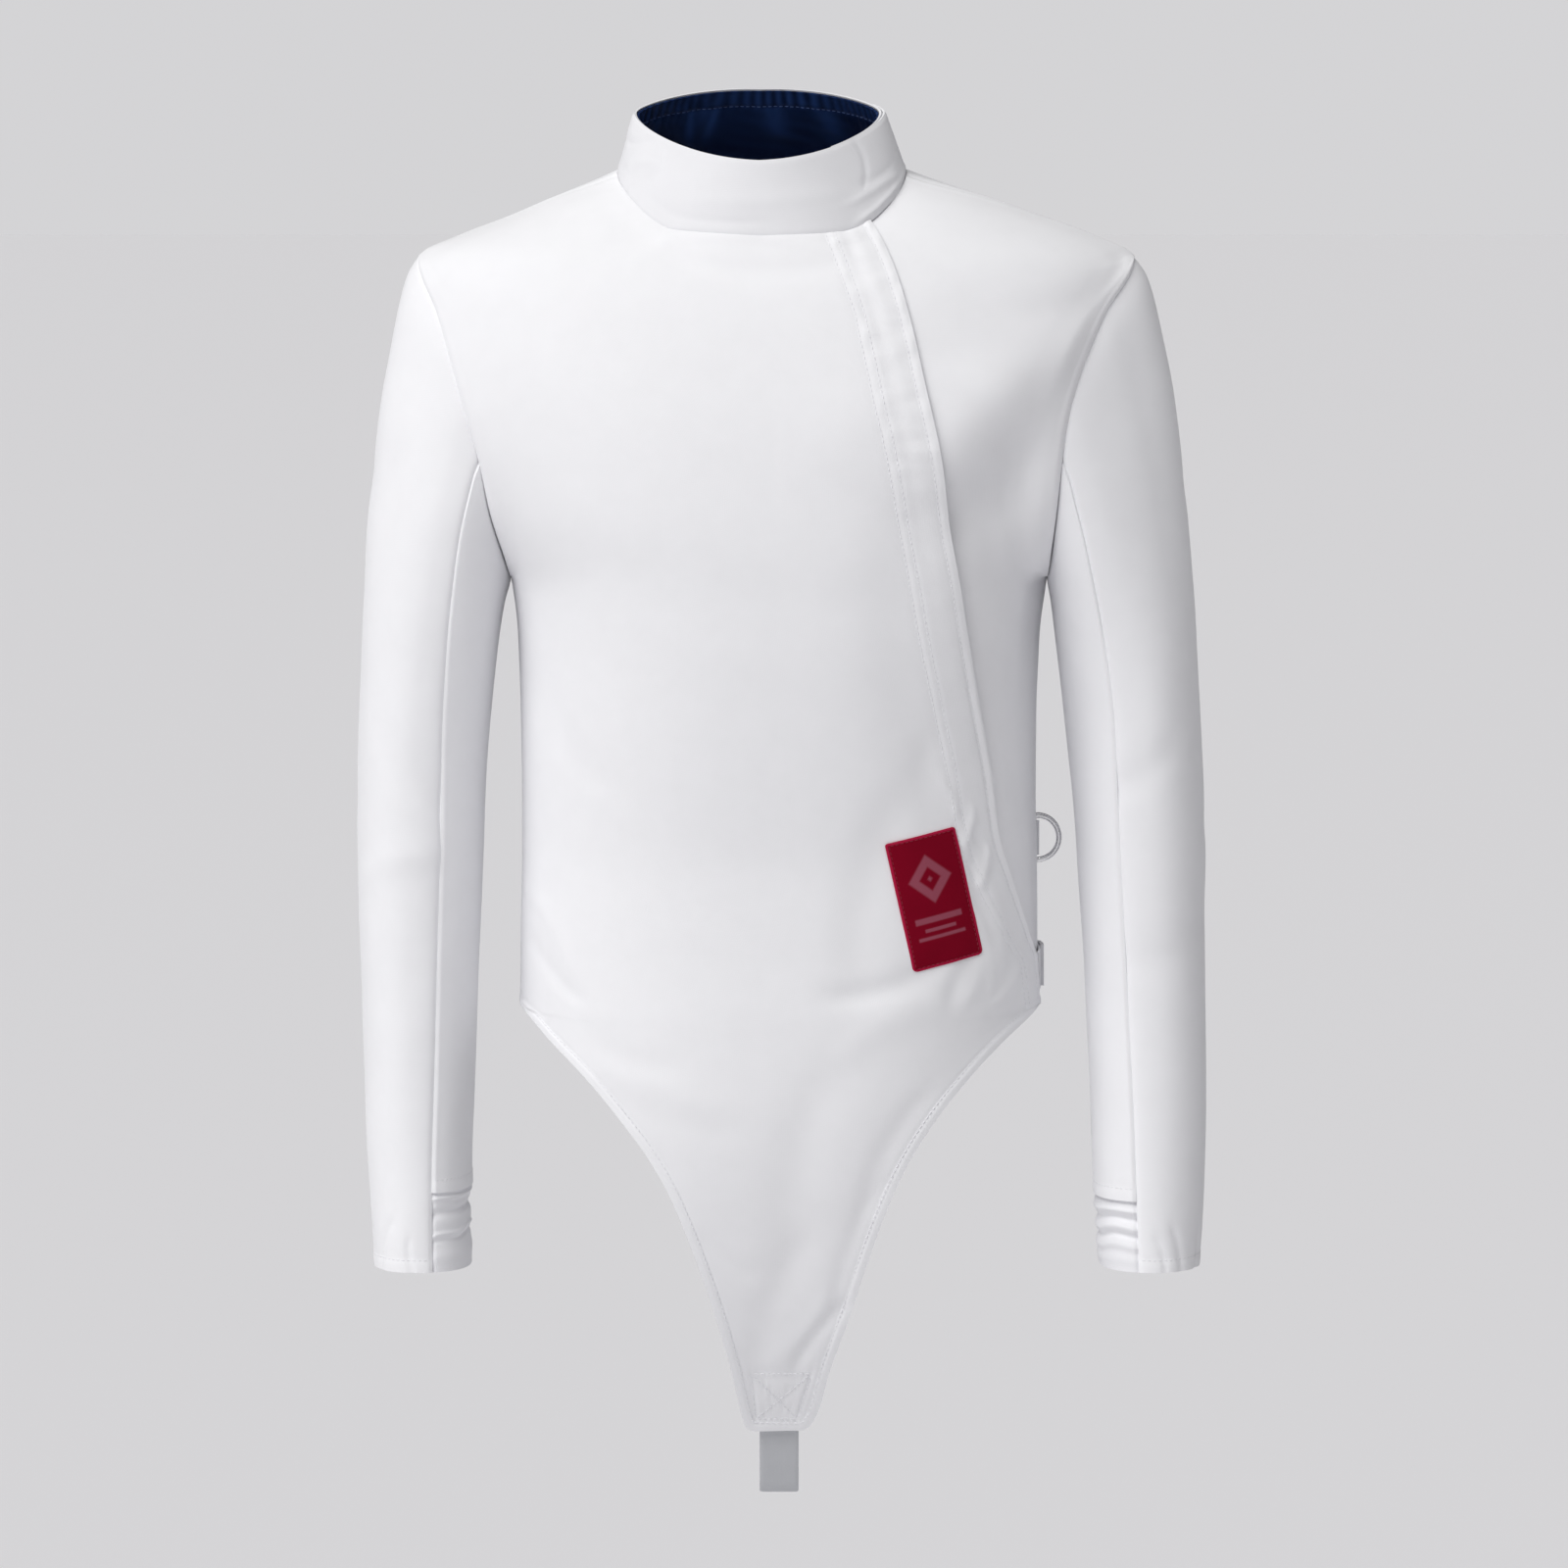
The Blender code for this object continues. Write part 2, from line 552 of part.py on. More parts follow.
def through(points, steps):
    """Smooth curve through points, evenly spaced along its length."""
    points = np.asarray(points, dtype=float)
    ends = np.concatenate([[2 * points[0] - points[1]], points, [2 * points[-1] - points[-2]]])
    u = np.linspace(0, 1, 12, endpoint=False)[:, None]
    curve = []
    for a, b, c, d in zip(ends, ends[1:], ends[2:], ends[3:]):
        curve.append(0.5 * (2 * b + (c - a) * u + (2 * a - 5 * b + 4 * c - d) * u ** 2
                            + (3 * b - a - 3 * c + d) * u ** 3))
    curve = np.concatenate(curve + [points[-1:]])
    length = np.concatenate([[0], np.cumsum(np.linalg.norm(np.diff(curve, axis=0), axis=1))])
    at = np.linspace(0, length[-1], steps)
    return np.stack([np.interp(at, length, curve[:, k]) for k in range(points.shape[1])], axis=-1)


def armhole_angles():
    return np.linspace(0, 360, 2 * ARMHOLE_ROWS, endpoint=False)


def armhole_place(turn):
    """Up and body angle of a place on the armhole; turn 0 is the shoulder tip, 90 the front."""
    turn = turn % 360
    folded = np.where(turn <= 180, turn, 360 - turn)
    swing = ARMHOLE_TURN * np.sin(np.radians(folded))
    return 3 - folded / 180, np.where(turn <= 180, 90 - swing, 90 + swing)


def sleeve_place(along, turn, side):
    """The sleeve's outer surface. Along runs armhole to cuff, turn runs round from the outer side."""
    along, turn = np.broadcast_arrays(np.asarray(along, dtype=float), np.asarray(turn, dtype=float))
    name = "left" if side > 0 else "right"

    def tube(at):
        middle = (SHOULDER_HEIGHT + ARMPIT_HEIGHT) / 2
        centre = middle + (CUFF_HEIGHT - middle) * at
        half = (SHOULDER_HEIGHT - middle) * (1 - at) ** 3
        outer = smooth(SLEEVE, SLEEVE_COLUMNS, "outer_" + name, centre + half)
        inner = smooth(SLEEVE, SLEEVE_COLUMNS, "inner_" + name, centre - half)
        depth = smooth(ARM, ARM_COLUMNS, "half_depth", at)
        forward = smooth(ARM, ARM_COLUMNS, "forward", at)
        x = (outer + inner) / 2 + (outer - inner) / 2 * power_cosine(turn, SLEEVE_POWER)
        y = -forward - depth * power_sine(turn, SLEEVE_POWER)
        return np.stack([side * x, y, centre + half * np.cos(np.radians(turn))], axis=-1)

    up, angle = armhole_place(turn)
    correction = body(up, side * angle) - tube(np.zeros_like(along))
    return tube(along) + correction * (1 - ease(along / HEAD_BLEND))[..., None]


def sleeve_stations(hem):
    """Places along the sleeve: closer at the head, one at the under sleeve's hem, then the cuff."""
    spread = np.linspace(0, 1, SLEEVE_STATIONS - 2) ** 1.35 * hem
    return np.concatenate([spread, [(hem + 1) / 2, 1.0]])


def sleeve_turns(along, split):
    """Turn of each column at each station, so that seams stay on columns: top sleeve or under sleeve."""
    even = armhole_angles()
    start, stop = ARM[0][3], ARM[0][4]
    front = smooth(ARM, ARM_COLUMNS, "front_seam", along)[:, None]
    back = smooth(ARM, ARM_COLUMNS, "back_seam", along)[:, None]
    if split == "under":
        base = even[(even >= start - 1) & (even <= stop + 1)][None]
        return front + (base - start) / (stop - start) * (back - front)
    base = np.concatenate([even[even >= stop - 1] - 360, even[even <= start + 1]])[None]
    return np.where(base < 0, base / (stop - 360) * (back - 360), base / start * front)


def sleeve_hem(side):
    height = UNDER_HEM_LEFT if side > 0 else UNDER_HEM_RIGHT
    middle = (SHOULDER_HEIGHT + ARMPIT_HEIGHT) / 2
    return (height - middle) / (CUFF_HEIGHT - middle)


def sleeve_normal(along, turn, side):
    """Outward direction of the sleeve, from small steps both ways."""
    low, high = np.clip(along - 0.003, 0, 1), np.clip(along + 0.003, 0, 1)
    fall = sleeve_place(high, turn, side) - sleeve_place(low, turn, side)
    round_it = sleeve_place(along, turn + 0.5, side) - sleeve_place(along, turn - 0.5, side)
    return unit(np.cross(round_it, fall) * side)


def armhole_normals(turn, side):
    """Directions of body and sleeve along the armhole."""
    up, angle = armhole_place(turn)
    return body_normal(up, side * angle), sleeve_normal(np.zeros_like(turn), turn, side)


def collar_place(angle, up):
    """The collar's outer surface, ruled from the neck seam, up 0, to its tilted top edge, up 1."""
    lift = smooth(TAB, TAB_COLUMNS, "lift", angle)
    base = neckline(angle)
    sine, cosine = np.sin(np.radians(angle)), np.cos(np.radians(angle))
    depth = COLLAR_RIM_ROUND * cosine + (1 - COLLAR_RIM_ROUND) * cosine * np.abs(cosine)
    x = COLLAR_TOP_MIDDLE + COLLAR_TOP_HALF_WIDTH * sine
    y = -np.where(cosine >= 0, COLLAR_TOP_FRONT, COLLAR_TOP_BACK) * depth
    z = COLLAR_TOP_HEIGHT + COLLAR_TILT * y + COLLAR_ROLL * (x - COLLAR_TOP_MIDDLE)
    z = z + COLLAR_RIGHT_RISE * np.clip(-sine, 0, 1)
    top = np.stack([x, y, z], axis=-1)
    way = top - base
    length = np.linalg.norm(way, axis=-1)
    start = (SEAM_GAP + lift) / length
    return base + way * (start + (1 - start) * up)[..., None]


def collar_grids():
    """Outer and inner points of the collar's wall, and the angle of each column."""
    angles = np.linspace(COLLAR_START, COLLAR_END, int(round((COLLAR_END - COLLAR_START) / COLLAR_STEP)) + 1)
    rows = np.linspace(0, 1, COLLAR_ROWS + 1)
    outer = collar_place(angles[None, :] + 0 * rows[:, None], rows[:, None] + 0 * angles[None, :])
    normals = grid_normals(outer)
    flat = unit(normals * np.array([1.0, 1.0, 0.0]))
    inset = COLLAR_UNDER * (1 - ease((angles - COLLAR_UNDER_FLAT) / (COLLAR_UNDER_END - COLLAR_UNDER_FLAT)))
    outer = outer - flat * inset[None, :, None]
    inner = outer - normals * COLLAR_CLOTH
    under, round_neck = 4.0, angles % 360
    seam = mitre(body_normal(under + 0 * angles, np.where(round_neck > 180, round_neck - 360, round_neck)),
                 normals[0], COLLAR_CLOTH)
    free = (inset > 0.0004) | (angles > TAB[1][0])
    inner[0] = np.where(free[:, None], inner[0], outer[0] - seam)
    return outer, inner, normals, angles


def neck_normals(angle):
    """Directions of body and collar along the neck seam."""
    spin = np.asarray(angle, dtype=float) % 360
    high, low = collar_place(spin, spin * 0 + 0.1), collar_place(spin, spin * 0)
    turn = neckline(spin + 0.5) - neckline(spin - 0.5)
    return body_normal(spin * 0 + 4.0, angle), unit(np.cross(turn, high - low))


def panel_walls(up, angles, outward):
    """Outer and inner grids of a body panel, with the sides' and neck's seams mitred."""
    grid_up = np.repeat(up[:, None], angles.shape[1], axis=1)
    normals = body_normal(grid_up, angles)
    outer = body(grid_up, angles) + normals * outward[..., None]
    inner = outer - normals * CLOTH
    return outer, inner, normals


def mitre_armhole(up, outer, inner, normals, col, side, back):
    """Give a panel's armhole edge the step it shares with the sleeve."""
    rows = np.where((up >= 2 - 1e-9) & (up <= 3 + 1e-9))[0]
    turn = 180 * (3 - up[rows])
    turn = 360 - turn if back else turn
    cloth, sleeve = armhole_normals(turn, side)
    inner[rows, col] = outer[rows, col] - mitre(cloth, sleeve, CLOTH)


def mitre_neck(outer, inner, angles):
    cloth, collar = neck_normals(angles[-1])
    inner[-1] = outer[-1] - mitre(cloth, collar, CLOTH)


def front_outer():
    """Wide front: wearer's right seam to the lap's edge, with the tongue; returns its grids for the band."""
    up = body_rows(0, 4)
    right = leg_angle(up, RIGHT)
    left = np.where(up < 1, leg_angle(up, LEFT), lap_angle(up))
    band = arc_angle(up, left, BAND_WIDTH)
    even = left - (left + right) * BAND_COLUMNS / (BAND_COLUMNS + FRONT_COLUMNS)
    band = np.where(up >= 1, band, even + (band - even) * ease((up - 0.6) / 0.4))
    wide = -right[:, None] + (band + right)[:, None] * np.linspace(0, 1, FRONT_COLUMNS + 1)[None]
    narrow = band[:, None] + (left - band)[:, None] * np.linspace(0, 1, BAND_COLUMNS + 1)[None, 1:]
    angles = np.concatenate([wide, narrow], axis=1)
    above = np.maximum(np.repeat(up[:, None], angles.shape[1], axis=1), 1.0)
    lap = np.repeat(np.where(up < 1, left[up >= 1][0], left)[:, None], angles.shape[1], axis=1)
    to_seam = arc_between(above, angles, np.maximum(edge_angle(above), angles))
    to_edge = arc_between(above, np.minimum(angles, lap), lap)
    near = 1 - ease((to_edge - LAP_FLAT) / (LAP_FADE - LAP_FLAT))
    outward = LAP_STEP * (1 - ease(to_seam / LAP_EASE)) * near * (angles > 0)
    outward *= ease((up - 0.4) / 0.6)[:, None]
    outer, inner, normals = panel_walls(up, angles, outward)
    mitre_armhole(up, outer, inner, normals, 0, RIGHT, False)
    mitre_neck(outer, inner, angles)
    below = up < 1
    held_outer, held_inner = outer[below].copy(), inner[below].copy()
    pull(outer, inner, ("first_column", "last_row"))
    outer[below], inner[below] = held_outer, held_inner
    solid("front_outer", outer, inner, WHITE, 0.8)
    return up, outer, normals


def front_placket(up, outer, normals):
    """Stitched band on the lap, made from the front's own points moved out."""
    rows = np.where(up >= 1 - 1e-9)[0][:-1]
    under = outer[rows][:, -(BAND_COLUMNS + 1):] + normals[rows][:, -(BAND_COLUMNS + 1):] * SEAM_GAP
    over = under + normals[rows][:, -(BAND_COLUMNS + 1):] * BAND_CLOTH
    solid("front_placket", over, under, WHITE, 0.8)


def front_under():
    """Narrow left front, running on under the lap and stepping out to the seams beyond it."""
    up = body_rows(1, 4)
    lap = lap_angle(up)
    start = arc_angle(up, lap, BAND_WIDTH)
    left = edge_angle(up)
    below = start[:, None] + (lap - start)[:, None] * np.linspace(0, 1, BAND_COLUMNS + 1)[None]
    beyond = lap[:, None] + (left - lap)[:, None] * np.linspace(0, 1, UNDER_COLUMNS + 1)[None, 1:]
    angles = np.concatenate([below, beyond], axis=1)
    grid_up = np.repeat(up[:, None], angles.shape[1], axis=1)
    to_seam = arc_between(grid_up, angles, np.repeat(left[:, None], angles.shape[1], axis=1))
    outer, inner, normals = panel_walls(up, angles, -LAP_STEP * ease(to_seam / LAP_EASE))
    mitre_armhole(up, outer, inner, normals, -1, LEFT, False)
    mitre_neck(outer, inner, angles)
    pull(outer, inner, ("last_column", "last_row"))
    solid("front_under", outer, inner, WHITE, 0.8)


def back():
    """Back panel, from side seam to side seam and from the back hem to the neck."""
    up = body_rows(1, 4)
    swing = 90 - edge_angle(up)
    start = np.where(up > 3, 90 - swing, 90 + swing)
    angles = start[:, None] + (360 - 2 * start)[:, None] * np.linspace(0, 1, BACK_COLUMNS + 1)[None]
    angles = np.where(angles > 180, angles - 360, angles)
    outer, inner, normals = panel_walls(up, angles, np.zeros(angles.shape))
    mitre_armhole(up, outer, inner, normals, 0, LEFT, True)
    mitre_armhole(up, outer, inner, normals, -1, RIGHT, True)
    mitre_neck(outer, inner, angles)
    pull(outer, inner, ("first_column", "last_column", "last_row"))
    solid("back", outer, inner, WHITE, 0.8)


def sleeve(side):
    """Top sleeve, under sleeve and the elastic set into the under side of the cuff."""
    name = "left" if side > 0 else "right"
    hem = sleeve_hem(side)
    stations = sleeve_stations(hem)
    for split in ("top", "under"):
        along = stations if split == "top" else stations[stations <= hem + 1e-9]
        turn = sleeve_turns(along, split)
        grid_along = np.repeat(along[:, None], turn.shape[1], axis=1)
        outer = sleeve_place(grid_along, turn % 360, side)
        normals = sleeve_normal(grid_along, turn % 360, side)
        inner = outer - normals * CLOTH
        cloth, own = armhole_normals(turn[0] % 360, side)
        inner[0] = outer[0] - mitre(cloth, own, CLOTH)
        pull(outer, inner, ("first_row", "first_column", "last_column"))
        solid(f"{split}_sleeve_{name}", outer, inner, WHITE, 0.8)
    rows = column(FOLDS, FOLD_COLUMNS, "along")
    along = hem + (1 - hem) * rows
    turn = sleeve_turns(along, "under")
    grid_along = np.repeat(along[:, None], turn.shape[1], axis=1)
    normals = sleeve_normal(grid_along, turn, side)
    rise = column(FOLDS, FOLD_COLUMNS, "rise") - ELASTIC_SET_BACK
    outer = sleeve_place(grid_along, turn, side) + normals * rise[:, None, None]
    inner = outer - normals * ELASTIC_CLOTH
    outer[0, :, 2] -= SEAM_GAP
    inner[0, :, 2] -= SEAM_GAP
    pull(outer, inner, ("first_column", "last_column"))
    solid(f"cuff_elastic_{name}", outer, inner, WHITE, 0.85)


def collar():
    """Standing collar, and the navy lining inside it."""
    outer, inner, normals, angles = collar_grids()
    solid("collar", outer, inner, WHITE, 0.8)
    kept = np.where((angles >= LINING_START) & (angles <= LINING_END))[0]
    over = inner[:, kept] - normals[:, kept] * SEAM_GAP
    facing = ease((angles[kept] - FACING_START) / FACING_EASE) * ease((FACING_END - angles[kept]) / FACING_EASE)
    foot = LINING_FOOT + (FACING_FOOT - LINING_FOOT) * facing
    shares = foot + (LINING_HEAD - foot) * np.linspace(0, 1, COLLAR_ROWS + 2)[:, None]
    lining = []
    for grid in (over, over - normals[:, kept] * LINING_CLOTH):
        lining.append(grid[0][None] + (grid[-1] - grid[0])[None] * shares[..., None])
    solid("collar_lining", lining[0], lining[1], NAVY, 0.35)


def front_place(x, height):
    """Point and direction on the front surface at a sideways place and height below the armpit."""
    _, half_width, power = section_sizes(height, x > 0)
    angle = np.degrees(np.arcsin((x / half_width) ** (power / 2)))
    up = 1 + (height - HIP_HEIGHT) / (ARMPIT_HEIGHT - HIP_HEIGHT)
    return body(up, angle), body_normal(up, angle)


def label():
    """Sewn label: a patch laid on the front, turned a little with the lap."""
    turn = math.radians(LABEL_TURN)
    across = np.linspace(-0.5, 0.5, 5)[None, :] * LABEL_WIDTH
    along = np.linspace(-0.5, 0.5, 8)[:, None] * LABEL_LENGTH
    x = LABEL_MIDDLE_X + across * math.cos(turn) - along * math.sin(turn)
    height = LABEL_MIDDLE_HEIGHT + across * math.sin(turn) + along * math.cos(turn)
    place, normal = front_place(x, height)
    under = place + normal * LABEL_SEAT
    solid("label", under + normal * LABEL_CLOTH, under, RED, 0.6)


def tongue_back(height):
    """Place just behind the tongue's middle, where the strap lies, as depth and height."""
    up = 1 - ((height - HIP_HEIGHT) / (TIP_HEIGHT - HIP_HEIGHT)) ** (1 / TONGUE_CLOSING)
    place, normal = body(up, 0.0 * up), body_normal(up, 0.0 * up)
    seat = CLOTH + STRAP_SEAT + STRAP_CLOTH / 2
    return (place - normal * seat)[..., 1:]


def crotch_strap():
    """Elastic strap: sewn behind the tongue, turned under it and sewn inside the back hem."""
    front = tongue_back(np.array([STRAP_TOP, -0.755, TIP_HEIGHT]))
    back_height = np.array([-0.515, STRAP_BACK_TOP])
    back_depth = smooth(BODY, BODY_COLUMNS, "back_depth", back_height)
    seat = CLOTH + STRAP_SEAT + STRAP_CLOTH / 2
    behind = np.stack([back_depth - seat, back_height], axis=-1)
    path = through(np.concatenate([front, np.array(STRAP_FREE), behind]), STRAP_STEPS)
    path = np.concatenate([np.zeros((len(path), 1)), path], axis=1)
    ribbon("crotch_strap", path, np.array([1.0, 0.0, 0.0]), STRAP_WIDTH / 2, STRAP_CLOTH / 2, GREY, 0.7)


def side_grid(angles, heights):
    """Places and directions on the side of the hip, for rows of heights and columns of angles."""
    level = heights[:, None] + 0 * angles
    return section(angles, level), section_normal(angles, level)


def hip_tab():
    """Webbing from the lap's corner round to the back panel, and the slider on it."""
    heights = TAB_MIDDLE_HEIGHT + np.linspace(-0.5, 0.5, 3) * TAB_WIDTH
    up = 1 + (heights - HIP_HEIGHT) / (ARMPIT_HEIGHT - HIP_HEIGHT)
    start = lap_angle(up) + 1.2
    angles = start[:, None] + (TAB_END_ANGLE - start)[:, None] * np.linspace(0, 1, 9)[None]
    place, normal = side_grid(angles, heights)
    under = place + normal * TAB_SEAT
    solid("hip_tab", under + normal * TAB_CLOTH, under, WHITE, 0.8)
    bar, window = SLIDER_BAR, SLIDER_WINDOW
    across = np.cumsum([0.0, bar, window, bar, window, bar])
    turn = np.degrees(np.arcsin(np.clip(across / 0.105, 0, 1) ** 1.2))
    rows = SLIDER_HEIGHT * np.array([-0.5, -0.5 + 0.12, 0.5 - 0.12, 0.5])
    place, normal = side_grid(SLIDER_START_ANGLE + turn[None] + 0 * rows[:, None], TAB_MIDDLE_HEIGHT + rows)
    under = place + normal * (TAB_SEAT + TAB_CLOTH + SEAM_GAP)
    solid("hip_slider", under + normal * SLIDER_CLOTH, under, (0.7, 0.7, 0.72), 0.45,
          holes=((1, 1), (1, 3)), smooth_angle=30.0)


def ring_frame():
    """Place on the back panel that carries the ring, its outward and backward directions, the bar's axis."""
    height = np.array(RING_HEIGHT)
    middle, half_width, power = section_sizes(height, True)
    depth = smooth(BODY, BODY_COLUMNS, "back_depth", height)
    share = (RING_SURFACE_Y / depth) ** power
    x = half_width * (1 - share) ** (1 / power)
    outward = unit(np.array([(x / half_width) ** (power - 1) / half_width,
                             (RING_SURFACE_Y / depth) ** (power - 1) / depth, 0.0]))
    backward = np.array([-outward[1], outward[0], 0.0])
    place = np.array([float(x), RING_SURFACE_Y, RING_HEIGHT])
    hole = RING_WIRE + SEAM_GAP
    axis = place + outward * (SEAM_GAP + LOOP_CLOTH + hole)
    return place, outward, backward, axis


def d_ring_loop():
    """Webbing folded round the ring's bar, both ends sewn on the back panel."""
    place, outward, backward, axis = ring_frame()
    bend = RING_WIRE + SEAM_GAP + LOOP_CLOTH / 2
    low = SEAM_GAP + LOOP_CLOTH / 2
    high = low + LOOP_CLOTH + SEAM_GAP
    back_depth = smooth(BODY, BODY_COLUMNS, "back_depth", np.array(RING_HEIGHT))
    _, half_width, power = section_sizes(np.array(RING_HEIGHT), True)

    def on_body(distance, lift):
        """Place over the body at a distance behind the ring, lifted off its surface."""
        y = place[1] + distance * backward[1]
        x = half_width * (1 - (y / back_depth) ** power) ** (1 / power)
        lean = unit(np.array([(x / half_width) ** (power - 1) / half_width,
                              (y / back_depth) ** (power - 1) / back_depth, 0.0]))
        return np.array([float(x), float(y), RING_HEIGHT]) + lean * lift

    under = [on_body(d, low + 0.0002) for d in np.linspace(LOOP_TAIL, 0.004, 6)]
    turns = np.radians(np.linspace(-90, 90, 11))
    around = [axis + bend * (np.sin(t) * outward - np.cos(t) * backward) for t in turns]
    top = low + 2 * bend
    over = [on_body(d, high + 0.0002 + (top - high) * (1 - ease(d / LOOP_EASE)))
            for d in np.concatenate([np.linspace(0.002, LOOP_EASE, 5), np.linspace(0.016, LOOP_TAIL, 3)])]
    path = np.array(under + around + over)
    ribbon("d_ring_loop", path, np.array([0.0, 0.0, 1.0]), LOOP_WIDTH / 2, LOOP_CLOTH / 2, WHITE, 0.8)


def d_ring():
    """D-ring bent from round wire: a straight bar on the joint's axis and a bow that stands out."""
    _, _, _, axis = ring_frame()
    bow = np.radians(np.linspace(6, 174, 21))
    bow_x = RING_DEPTH * np.sin(bow) ** 0.85
    bow_z = RING_HALF_HEIGHT * np.cos(bow)
    bar_z = np.linspace(-1, 1, 7) * (RING_HALF_HEIGHT - RING_CORNER)
    corner = np.array([[RING_CORNER * 0.3, -RING_HALF_HEIGHT + RING_CORNER * 0.3]])
    path = np.concatenate([np.stack([bow_x, bow_z], axis=-1), corner,
                           np.stack([0 * bar_z, bar_z], axis=-1), corner * np.array([[1, -1]])])
    ahead = unit(np.roll(path, -1, axis=0) - np.roll(path, 1, axis=0))
    side = np.stack([ahead[:, 1], -ahead[:, 0]], axis=-1)
    turn = np.radians(np.arange(8) * 45.0)
    rings = np.zeros((len(path), 8, 3))
    rings[..., 0] = path[:, None, 0] + RING_WIRE * np.cos(turn)[None] * side[:, None, 0]
    rings[..., 1] = RING_WIRE * np.sin(turn)[None]
    rings[..., 2] = path[:, None, 1] + RING_WIRE * np.cos(turn)[None] * side[:, None, 1]
    count = len(path)
    faces = []
    for i in range(count):
        for k in range(8):
            a, b = i * 8 + k, i * 8 + (k + 1) % 8
            c, d = ((i + 1) % count) * 8 + (k + 1) % 8, ((i + 1) % count) * 8 + k
            faces += [[a, b, c], [a, c, d]]
    mesh = bpy.data.meshes.new("d_ring")
    mesh.from_pydata(rings.reshape(-1, 3).tolist(), [], faces)
    ring = finish("d_ring", mesh, (0.62, 0.62, 0.64), 0.25, 1.0, 60.0)
    ring.location = axis.tolist()


def build():
    for thing in list(bpy.data.objects):
        bpy.data.objects.remove(thing, do_unlink=True)
    up, outer, normals = front_outer()
    front_placket(up, outer, normals)
    front_under()
    back()
    collar()
    label()
    for side in (RIGHT, LEFT):
        sleeve(side)
    crotch_strap()
    hip_tab()
    d_ring_loop()
    d_ring()


build()
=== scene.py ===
"""Fencing jacket, filled out with no wearer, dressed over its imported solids.

The wearer's left is +X, the front faces -Y and +Z is up. Each cloth piece is a thin wall
worked out on a fine grid over the same form as its solid, with its creases, seams and hems.
"""

import json
import math

import bpy
import numpy as np
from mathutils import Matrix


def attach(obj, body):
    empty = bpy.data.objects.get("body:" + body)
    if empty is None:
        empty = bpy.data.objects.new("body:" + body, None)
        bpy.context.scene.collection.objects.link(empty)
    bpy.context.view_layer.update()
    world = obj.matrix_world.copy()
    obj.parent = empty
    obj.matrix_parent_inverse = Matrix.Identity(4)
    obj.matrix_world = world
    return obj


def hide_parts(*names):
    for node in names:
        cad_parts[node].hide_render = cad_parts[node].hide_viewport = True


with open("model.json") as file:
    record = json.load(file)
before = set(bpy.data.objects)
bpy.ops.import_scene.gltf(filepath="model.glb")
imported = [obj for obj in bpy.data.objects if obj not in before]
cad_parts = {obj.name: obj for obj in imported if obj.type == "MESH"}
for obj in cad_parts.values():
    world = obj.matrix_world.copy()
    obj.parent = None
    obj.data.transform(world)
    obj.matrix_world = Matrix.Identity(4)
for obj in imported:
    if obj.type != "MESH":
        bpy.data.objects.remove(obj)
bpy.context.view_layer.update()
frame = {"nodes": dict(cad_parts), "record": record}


# Body form.
# The jacket's torso is one hollow form that all its panels are cut from: level sections from
# the tongue's tip to the shoulder tips, and a shoulder surface from there up to the neck seam.
CLOTH = 0.0018
SEAM_GAP = 0.0003
LAP_STEP = CLOTH + SEAM_GAP
TIP_HEIGHT = -0.7743
HIP_HEIGHT = -0.5030
ARMPIT_HEIGHT = -0.2290
SHOULDER_HEIGHT = -0.0255
CENTRE_CHEST_HEIGHT = -0.0550
BACK_HEM_DIP = 0.017
TONGUE_CLOSING = 2.0
ARMHOLE_TURN = 32.0
SHOULDER_SEAM_LEAD = 5.0

BODY_COLUMNS = ("height", "reach_right", "reach_left", "front_depth", "back_depth", "power")
BODY = (
    (-0.7800, 0.1665, 0.1665, 0.056, 0.110, 2.4),
    (-0.7400, 0.1665, 0.1665, 0.073, 0.112, 2.4),
    (-0.7000, 0.1665, 0.1665, 0.088, 0.114, 2.4),
    (-0.6500, 0.1665, 0.1665, 0.103, 0.115, 2.4),
    (-0.6000, 0.1665, 0.1665, 0.113, 0.115, 2.4),
    (-0.5500, 0.1665, 0.1665, 0.118, 0.114, 2.4),
    (-0.5030, 0.1664, 0.1665, 0.119, 0.109, 2.4),
    (-0.4600, 0.1660, 0.1662, 0.118, 0.102, 2.4),
    (-0.4144, 0.1650, 0.1658, 0.118, 0.097, 2.4),
    (-0.3637, 0.1648, 0.1648, 0.121, 0.098, 2.4),
    (-0.3131, 0.1655, 0.1650, 0.125, 0.103, 2.4),
    (-0.2878, 0.1663, 0.1658, 0.127, 0.106, 2.4),
    (-0.2626, 0.1672, 0.1670, 0.128, 0.109, 2.4),
    (-0.2290, 0.1715, 0.1712, 0.129, 0.112, 2.4),
    (-0.1841, 0.1832, 0.1758, 0.128, 0.115, 2.4),
    (-0.1552, 0.1888, 0.1785, 0.126, 0.116, 2.4),
    (-0.1272, 0.1965, 0.1823, 0.121, 0.114, 2.4),
    (-0.0965, 0.2056, 0.1909, 0.114, 0.109, 2.3),
    (-0.0601, 0.2167, 0.2069, 0.104, 0.101, 2.2),
    (-0.0255, 0.2300, 0.2265, 0.087, 0.090, 2.1),
    (-0.0119, 0.2037, 0.2006, 0.079, 0.084, 2.0),
    (0.0006, 0.1718, 0.1674, 0.071, 0.078, 2.0),
    (0.0131, 0.1436, 0.1330, 0.061, 0.072, 2.0),
    (0.0255, 0.1136, 0.0949, 0.050, 0.065, 2.0),
    (0.0360, 0.0910, 0.0690, 0.041, 0.058, 2.0),
    (0.0500, 0.0600, 0.0400, 0.030, 0.048, 2.0),
)
MIDDLE_COLUMNS = ("height", "middle")
